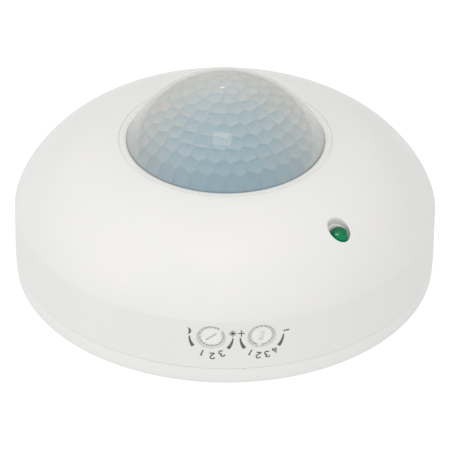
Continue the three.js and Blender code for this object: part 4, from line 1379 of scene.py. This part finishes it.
back = obj("back_plate_fine", *back_mesh(), M["inner_plastic"], sharp=50)
outer = obj("tmp", *prism(rounded_rect(-12.7, 12.7, -12.7, 25.7, 1.6, 5), 5.4, 18.6, 0.25, 2), M["inner_plastic"])
boolean(back, outer, "UNION")
for a in (0, 120, 240):
    x, y = azdir(a) * 37.5
    boolean(back, obj("tmp", *prism(circle(4.3, 40, x, y), 5.4, 10.0, 0.3, 2), M["inner_plastic"]), "UNION")
    boolean(back, obj("tmp", *prism(circle(3.2, 36, x, y), 9.0, 18.75, 0.25, 2), M["inner_plastic"]), "UNION")
boolean(back, obj("tmp", *prism(rounded_rect(-11.5, 11.5, -11.5, 24.5, 0.9, 5), 0, 30), M["inner_plastic"]), "DIFFERENCE")
for a in (0, 120, 240):
    x, y = azdir(a) * 37.5
    boolean(back, obj("tmp", *prism(circle(3.0, 40, x, y), 0, 8.2), M["inner_plastic"]), "DIFFERENCE")
    boolean(back, obj("tmp", *prism(circle(1.7, 24, x, y), 0, 30), M["inner_plastic"]), "DIFFERENCE")
soften(back, 0.16, 35, 2, 40)
put(back, "head", "inner_plastic", "back_plate")


def head_screw(name, x, y, turn):
    prof = [(0.0, 5.75), (2.05, 5.78), (2.40, 5.98), (2.60, 6.4), (2.6, 7.85), (2.5, 8.0), (1.35, 8.0)]
    z = 8.6
    while z < 28.6:                                  # coarse thread as stacked crests
        prof += [(1.05, z), (1.30, z + 0.34), (1.30, z + 0.42), (1.05, z + 0.76)]
        z += 0.92
    prof += [(0.9, 29.3), (0.0, 30.35)]
    ob = obj(name, *lathe(prof, 36, False), M["screw_steel"], sharp=40)
    cross = [(0.34, 0.34), (0.34, 1.45), (-0.34, 1.45), (-0.34, 0.34), (-1.45, 0.34), (-1.45, -0.34), (-0.34, -0.34), (-0.34, -1.45), (0.34, -1.45), (0.34, -0.34), (1.45, -0.34), (1.45, 0.34)]
    boolean(ob, obj("tmp", *prism(cross, 5.0, 6.9), M["screw_steel"]), "DIFFERENCE")
    for q in ob.data.polygons:
        q.use_smooth = True
    ob.data.set_sharp_from_angle(angle=math.radians(35))
    ob.data.transform(Matrix.Translation((x * MM, y * MM, 0)) @ Matrix.Rotation(math.radians(turn), 4, "Z"))
    return ob


for i, a in enumerate((0, 120, 240)):
    x, y = azdir(a) * 37.5
    put(head_screw(f"head_screw_{i + 1}_fine", x, y, a + 17 * i), "head", "screw_steel", f"head_screw_{i + 1}")


def terminal_screw(name, x, y):
    prof = [(0.0, 6.2), (1.6, 6.22), (1.8, 6.42), (1.8, 8.25), (1.7, 8.4), (1.05, 8.4)]
    z = 8.7
    while z < 12.0:
        prof += [(0.85, z), (1.05, z + 0.2), (1.05, z + 0.28), (0.85, z + 0.48)]
        z += 0.6
    prof += [(0.85, 12.45), (0.7, 12.6), (0.0, 12.6)]
    ob = obj(name, *lathe(prof, 32, False), M["screw_steel"], sharp=40)
    boolean(ob, obj("tmp", *prism([(-2, -0.3), (2, -0.3), (2, 0.3), (-2, 0.3)], 5.0, 7.0), M["screw_steel"]), "DIFFERENCE")
    for q in ob.data.polygons:
        q.use_smooth = True
    ob.data.set_sharp_from_angle(angle=math.radians(35))
    ob.data.transform(Matrix.Translation((x * MM, y * MM, 0)))
    return ob


for i, k in enumerate((-1, 0, 1)):
    put(terminal_screw(f"terminal_screw_{i + 1}_fine", k * 5.08, 17.4), f"pole_screw_{i + 1}", "screw_steel", f"terminal_screw_{i + 1}")

# =====================================================================================
# carried-over nodes: finish and rolled edges
# =====================================================================================

SLOT_OF = {
    "circuit_board": "board_laminate", "pir_spacer": "inner_plastic", "led_spacer": "inner_plastic", "pir_sensor": "sensor_can", "pir_window": "sensor_filter", "photocell": "photocell_face",
    "power_relay": "relay_case", "film_capacitor": "film_capacitor_case", "reservoir_capacitor": "capacitor_sleeve", "timing_capacitor": "capacitor_sleeve",
    "bridge_rectifier": "epoxy_package", "surge_varistor": "varistor_coating", "fuse_resistor": "resistor_coating", "control_ic": "epoxy_package",
    "voltage_regulator": "epoxy_package", "lux_trimmer": "trimmer_case", "time_trimmer": "trimmer_case", "lux_trimmer_rotor": "trimmer_rotor_plastic",
    "time_trimmer_rotor": "trimmer_rotor_plastic", "terminal_block": "terminal_plastic",
    "clamp_cage_1": "clamp_brass", "clamp_cage_2": "clamp_brass", "clamp_cage_3": "clamp_brass"}
EDGE = {"film_capacitor": 0.4, "power_relay": 0.35, "surge_varistor": 0.9, "fuse_resistor": 0.5, "control_ic": 0.12, "bridge_rectifier": 0.2, "terminal_block": 0.2, "reservoir_capacitor": 0.15}

for name, ob in frame["nodes"].items():
    if ob.hide_render:
        continue
    slot = SLOT_OF[name]
    ob.data.materials.clear()
    ob.data.materials.append(M[slot])
    weld = ob.modifiers.new("weld", "WELD")
    weld.merge_threshold = 1e-6
    bev = ob.modifiers.new("edge", "BEVEL")
    bev.width = EDGE.get(name, 0.1) * MM
    bev.segments = 3
    bev.limit_method = "ANGLE"
    bev.angle_limit = math.radians(38)
    bev.use_clamp_overlap = True
    for q in ob.data.polygons:
        q.use_smooth = True
    ob.data.set_sharp_from_angle(angle=math.radians(36))
    weighted(ob)

# =====================================================================================
# studio
# =====================================================================================

bm = bmesh.new()
bmesh.ops.create_grid(bm, x_segments=2, y_segments=2, size=8.0)
me = bpy.data.meshes.new("floor")
bm.to_mesh(me)
bm.free()
floor = bpy.data.objects.new("floor", me)
scene.collection.objects.link(floor)
LIGHT = {"base": 0.475, "lobe": 0.795, "floor": 0.765, "key": 0.88, "left": 0.45, "back": 0.07, "rear": 0.32, "spark": 0.008}

fm = Nodes("floor_white")
fp = fm.principled(Base_Color=fm.mix(fm.noise(3.0, 2.0, lo=0.0, hi=1.0), (0.14, 0.14, 0.14), (0.16, 0.16, 0.16)), Roughness=fm.noise(20.0, 2.0, lo=0.85, hi=0.95))
fp.inputs["Specular IOR Level"].default_value = 0.0
fp.inputs["Emission Color"].default_value = (1, 1, 1, 1)
seen = fm.n("ShaderNodeLightPath").outputs["Is Camera Ray"]
fm.link(fm.math("ADD", fm.math("MULTIPLY", seen, 0.93 - LIGHT["floor"]), LIGHT["floor"]), fp.inputs["Emission Strength"])
# seen from underneath, the floor lets the eye through to the object's underside
under = fm.math("MULTIPLY", seen, fm.n("ShaderNodeNewGeometry").outputs["Backfacing"])
gone = fm.n("ShaderNodeMixShader")
fm.link(under, gone.inputs[0])
fm.link(fp.outputs[0], gone.inputs[1])
fm.link(fm.n("ShaderNodeBsdfTransparent", Color=(1, 1, 1, 1)).outputs[0], gone.inputs[2])
floor.data.materials.append(fm.done(gone.outputs[0]))
floor.location.z = -0.00006

# soft room light: even, with a broad bright side high at the front left
world = bpy.data.worlds.new("studio")
scene.world = world
world.use_nodes = True
wn = world.node_tree
bg = wn.nodes["Background"]
wc = wn.nodes.new("ShaderNodeTexCoord")
wl = wn.nodes.new("ShaderNodeVectorMath")
wl.operation = "DOT_PRODUCT"
lobe_az, lobe_el = math.radians(-30.0), math.radians(64.0)
wl.inputs[1].default_value = (math.sin(lobe_az) * math.cos(lobe_el), -math.cos(lobe_az) * math.cos(lobe_el), math.sin(lobe_el))
wn.links.new(wc.outputs["Generated"], wl.inputs[0])
wm = wn.nodes.new("ShaderNodeMath")
wm.operation = "MAXIMUM"
wm.inputs[1].default_value = 0.0
wn.links.new(wl.outputs["Value"], wm.inputs[0])
wa = wn.nodes.new("ShaderNodeMath")
wa.operation = "MULTIPLY_ADD"
wa.inputs[1].default_value = LIGHT["lobe"]
wa.inputs[2].default_value = LIGHT["base"]
wn.links.new(wm.outputs[0], wa.inputs[0])
wn.links.new(wa.outputs[0], bg.inputs[1])
bg.inputs[0].default_value = (1.0, 1.0, 1.0, 1.0)


def area(name, az, elev, dist, sx, sy, watts, target=(0, 0, 0.03), color=(1, 1, 1)):
    if watts <= 0:
        return
    a, e = math.radians(az), math.radians(elev)
    d = Vector((math.sin(a) * math.cos(e), -math.cos(a) * math.cos(e), math.sin(e)))
    light = bpy.data.lights.new(name, "AREA")
    light.shape = "RECTANGLE"
    light.size, light.size_y = sx, sy
    light.energy = watts
    light.color = color
    ob = bpy.data.objects.new(name, light)
    ob.location = Vector(target) + d * dist
    ob.rotation_euler = (-d).to_track_quat("-Z", "Y").to_euler()
    scene.collection.objects.link(ob)
    return ob


area("key", -13.3, 70.0, 1.2, 0.40, 0.30, LIGHT["key"], color=(1.0, 0.86, 0.66))
area("left_fill", -75.0, 32.0, 1.6, 1.2, 0.9, LIGHT["left"])
area("rear_fill", 172.0, 48.0, 1.5, 0.9, 0.6, LIGHT["rear"])
area("back_kicker", 180.0, 42.0, 1.4, 0.07, 0.04, LIGHT["back"])
area("left_spark", -95.0, 58.0, 1.3, 0.05, 0.05, LIGHT["spark"])
area("right_spark", 78.0, 68.0, 1.3, 0.05, 0.05, LIGHT["spark"])
# a small light that only the lamp's epoxy catches
glint = area("lamp_glint", -35.4, 43.8, 1.0, 0.80, 0.22, 9.0, target=(lx * MM, ly * MM, 0.033))
glint.visible_diffuse = False
only = bpy.data.collections.new("lamp_only")
only.objects.link(led)
glint.light_linking.receiver_collection = only

scene.view_settings.view_transform = "Standard"
scene.view_settings.look = "None"
scene.view_settings.exposure = 0.0
scene.view_settings.gamma = 1.0

# camera
e, th, swing = 0.5983455, 0.009027, math.radians(-3.3)
D, CX, CY = 670.7768, 0.06304, 8.43896
right0, up0, fwd = Vector((1, 0, 0)), Vector((0, math.sin(e), math.cos(e))), Vector((0, math.cos(e), -math.sin(e)))
loc = Vector((0, -D * math.cos(e), D * math.sin(e))) + right0 * CX + up0 * CY
right = right0 * math.cos(th) + up0 * math.sin(th)
up = up0 * math.cos(th) - right0 * math.sin(th)
rot = Matrix.Rotation(swing, 3, "Z")
right, up, fwd, loc = rot @ right, rot @ up, rot @ fwd, rot @ loc
cam_data = bpy.data.cameras.new("camera")
cam = bpy.data.objects.new("camera", cam_data)
scene.collection.objects.link(cam)
cam_data.sensor_width = 36.0
cam_data.lens = 2405.8634 / 450.0 * 36.0
cam_data.clip_start, cam_data.clip_end = 0.05, 50.0
m4 = Matrix.Identity(4)
for i in range(3):
    m4[i][0], m4[i][1], m4[i][2], m4[i][3] = right[i], up[i], -fwd[i], loc[i] * MM
cam.matrix_world = m4
scene.camera = cam
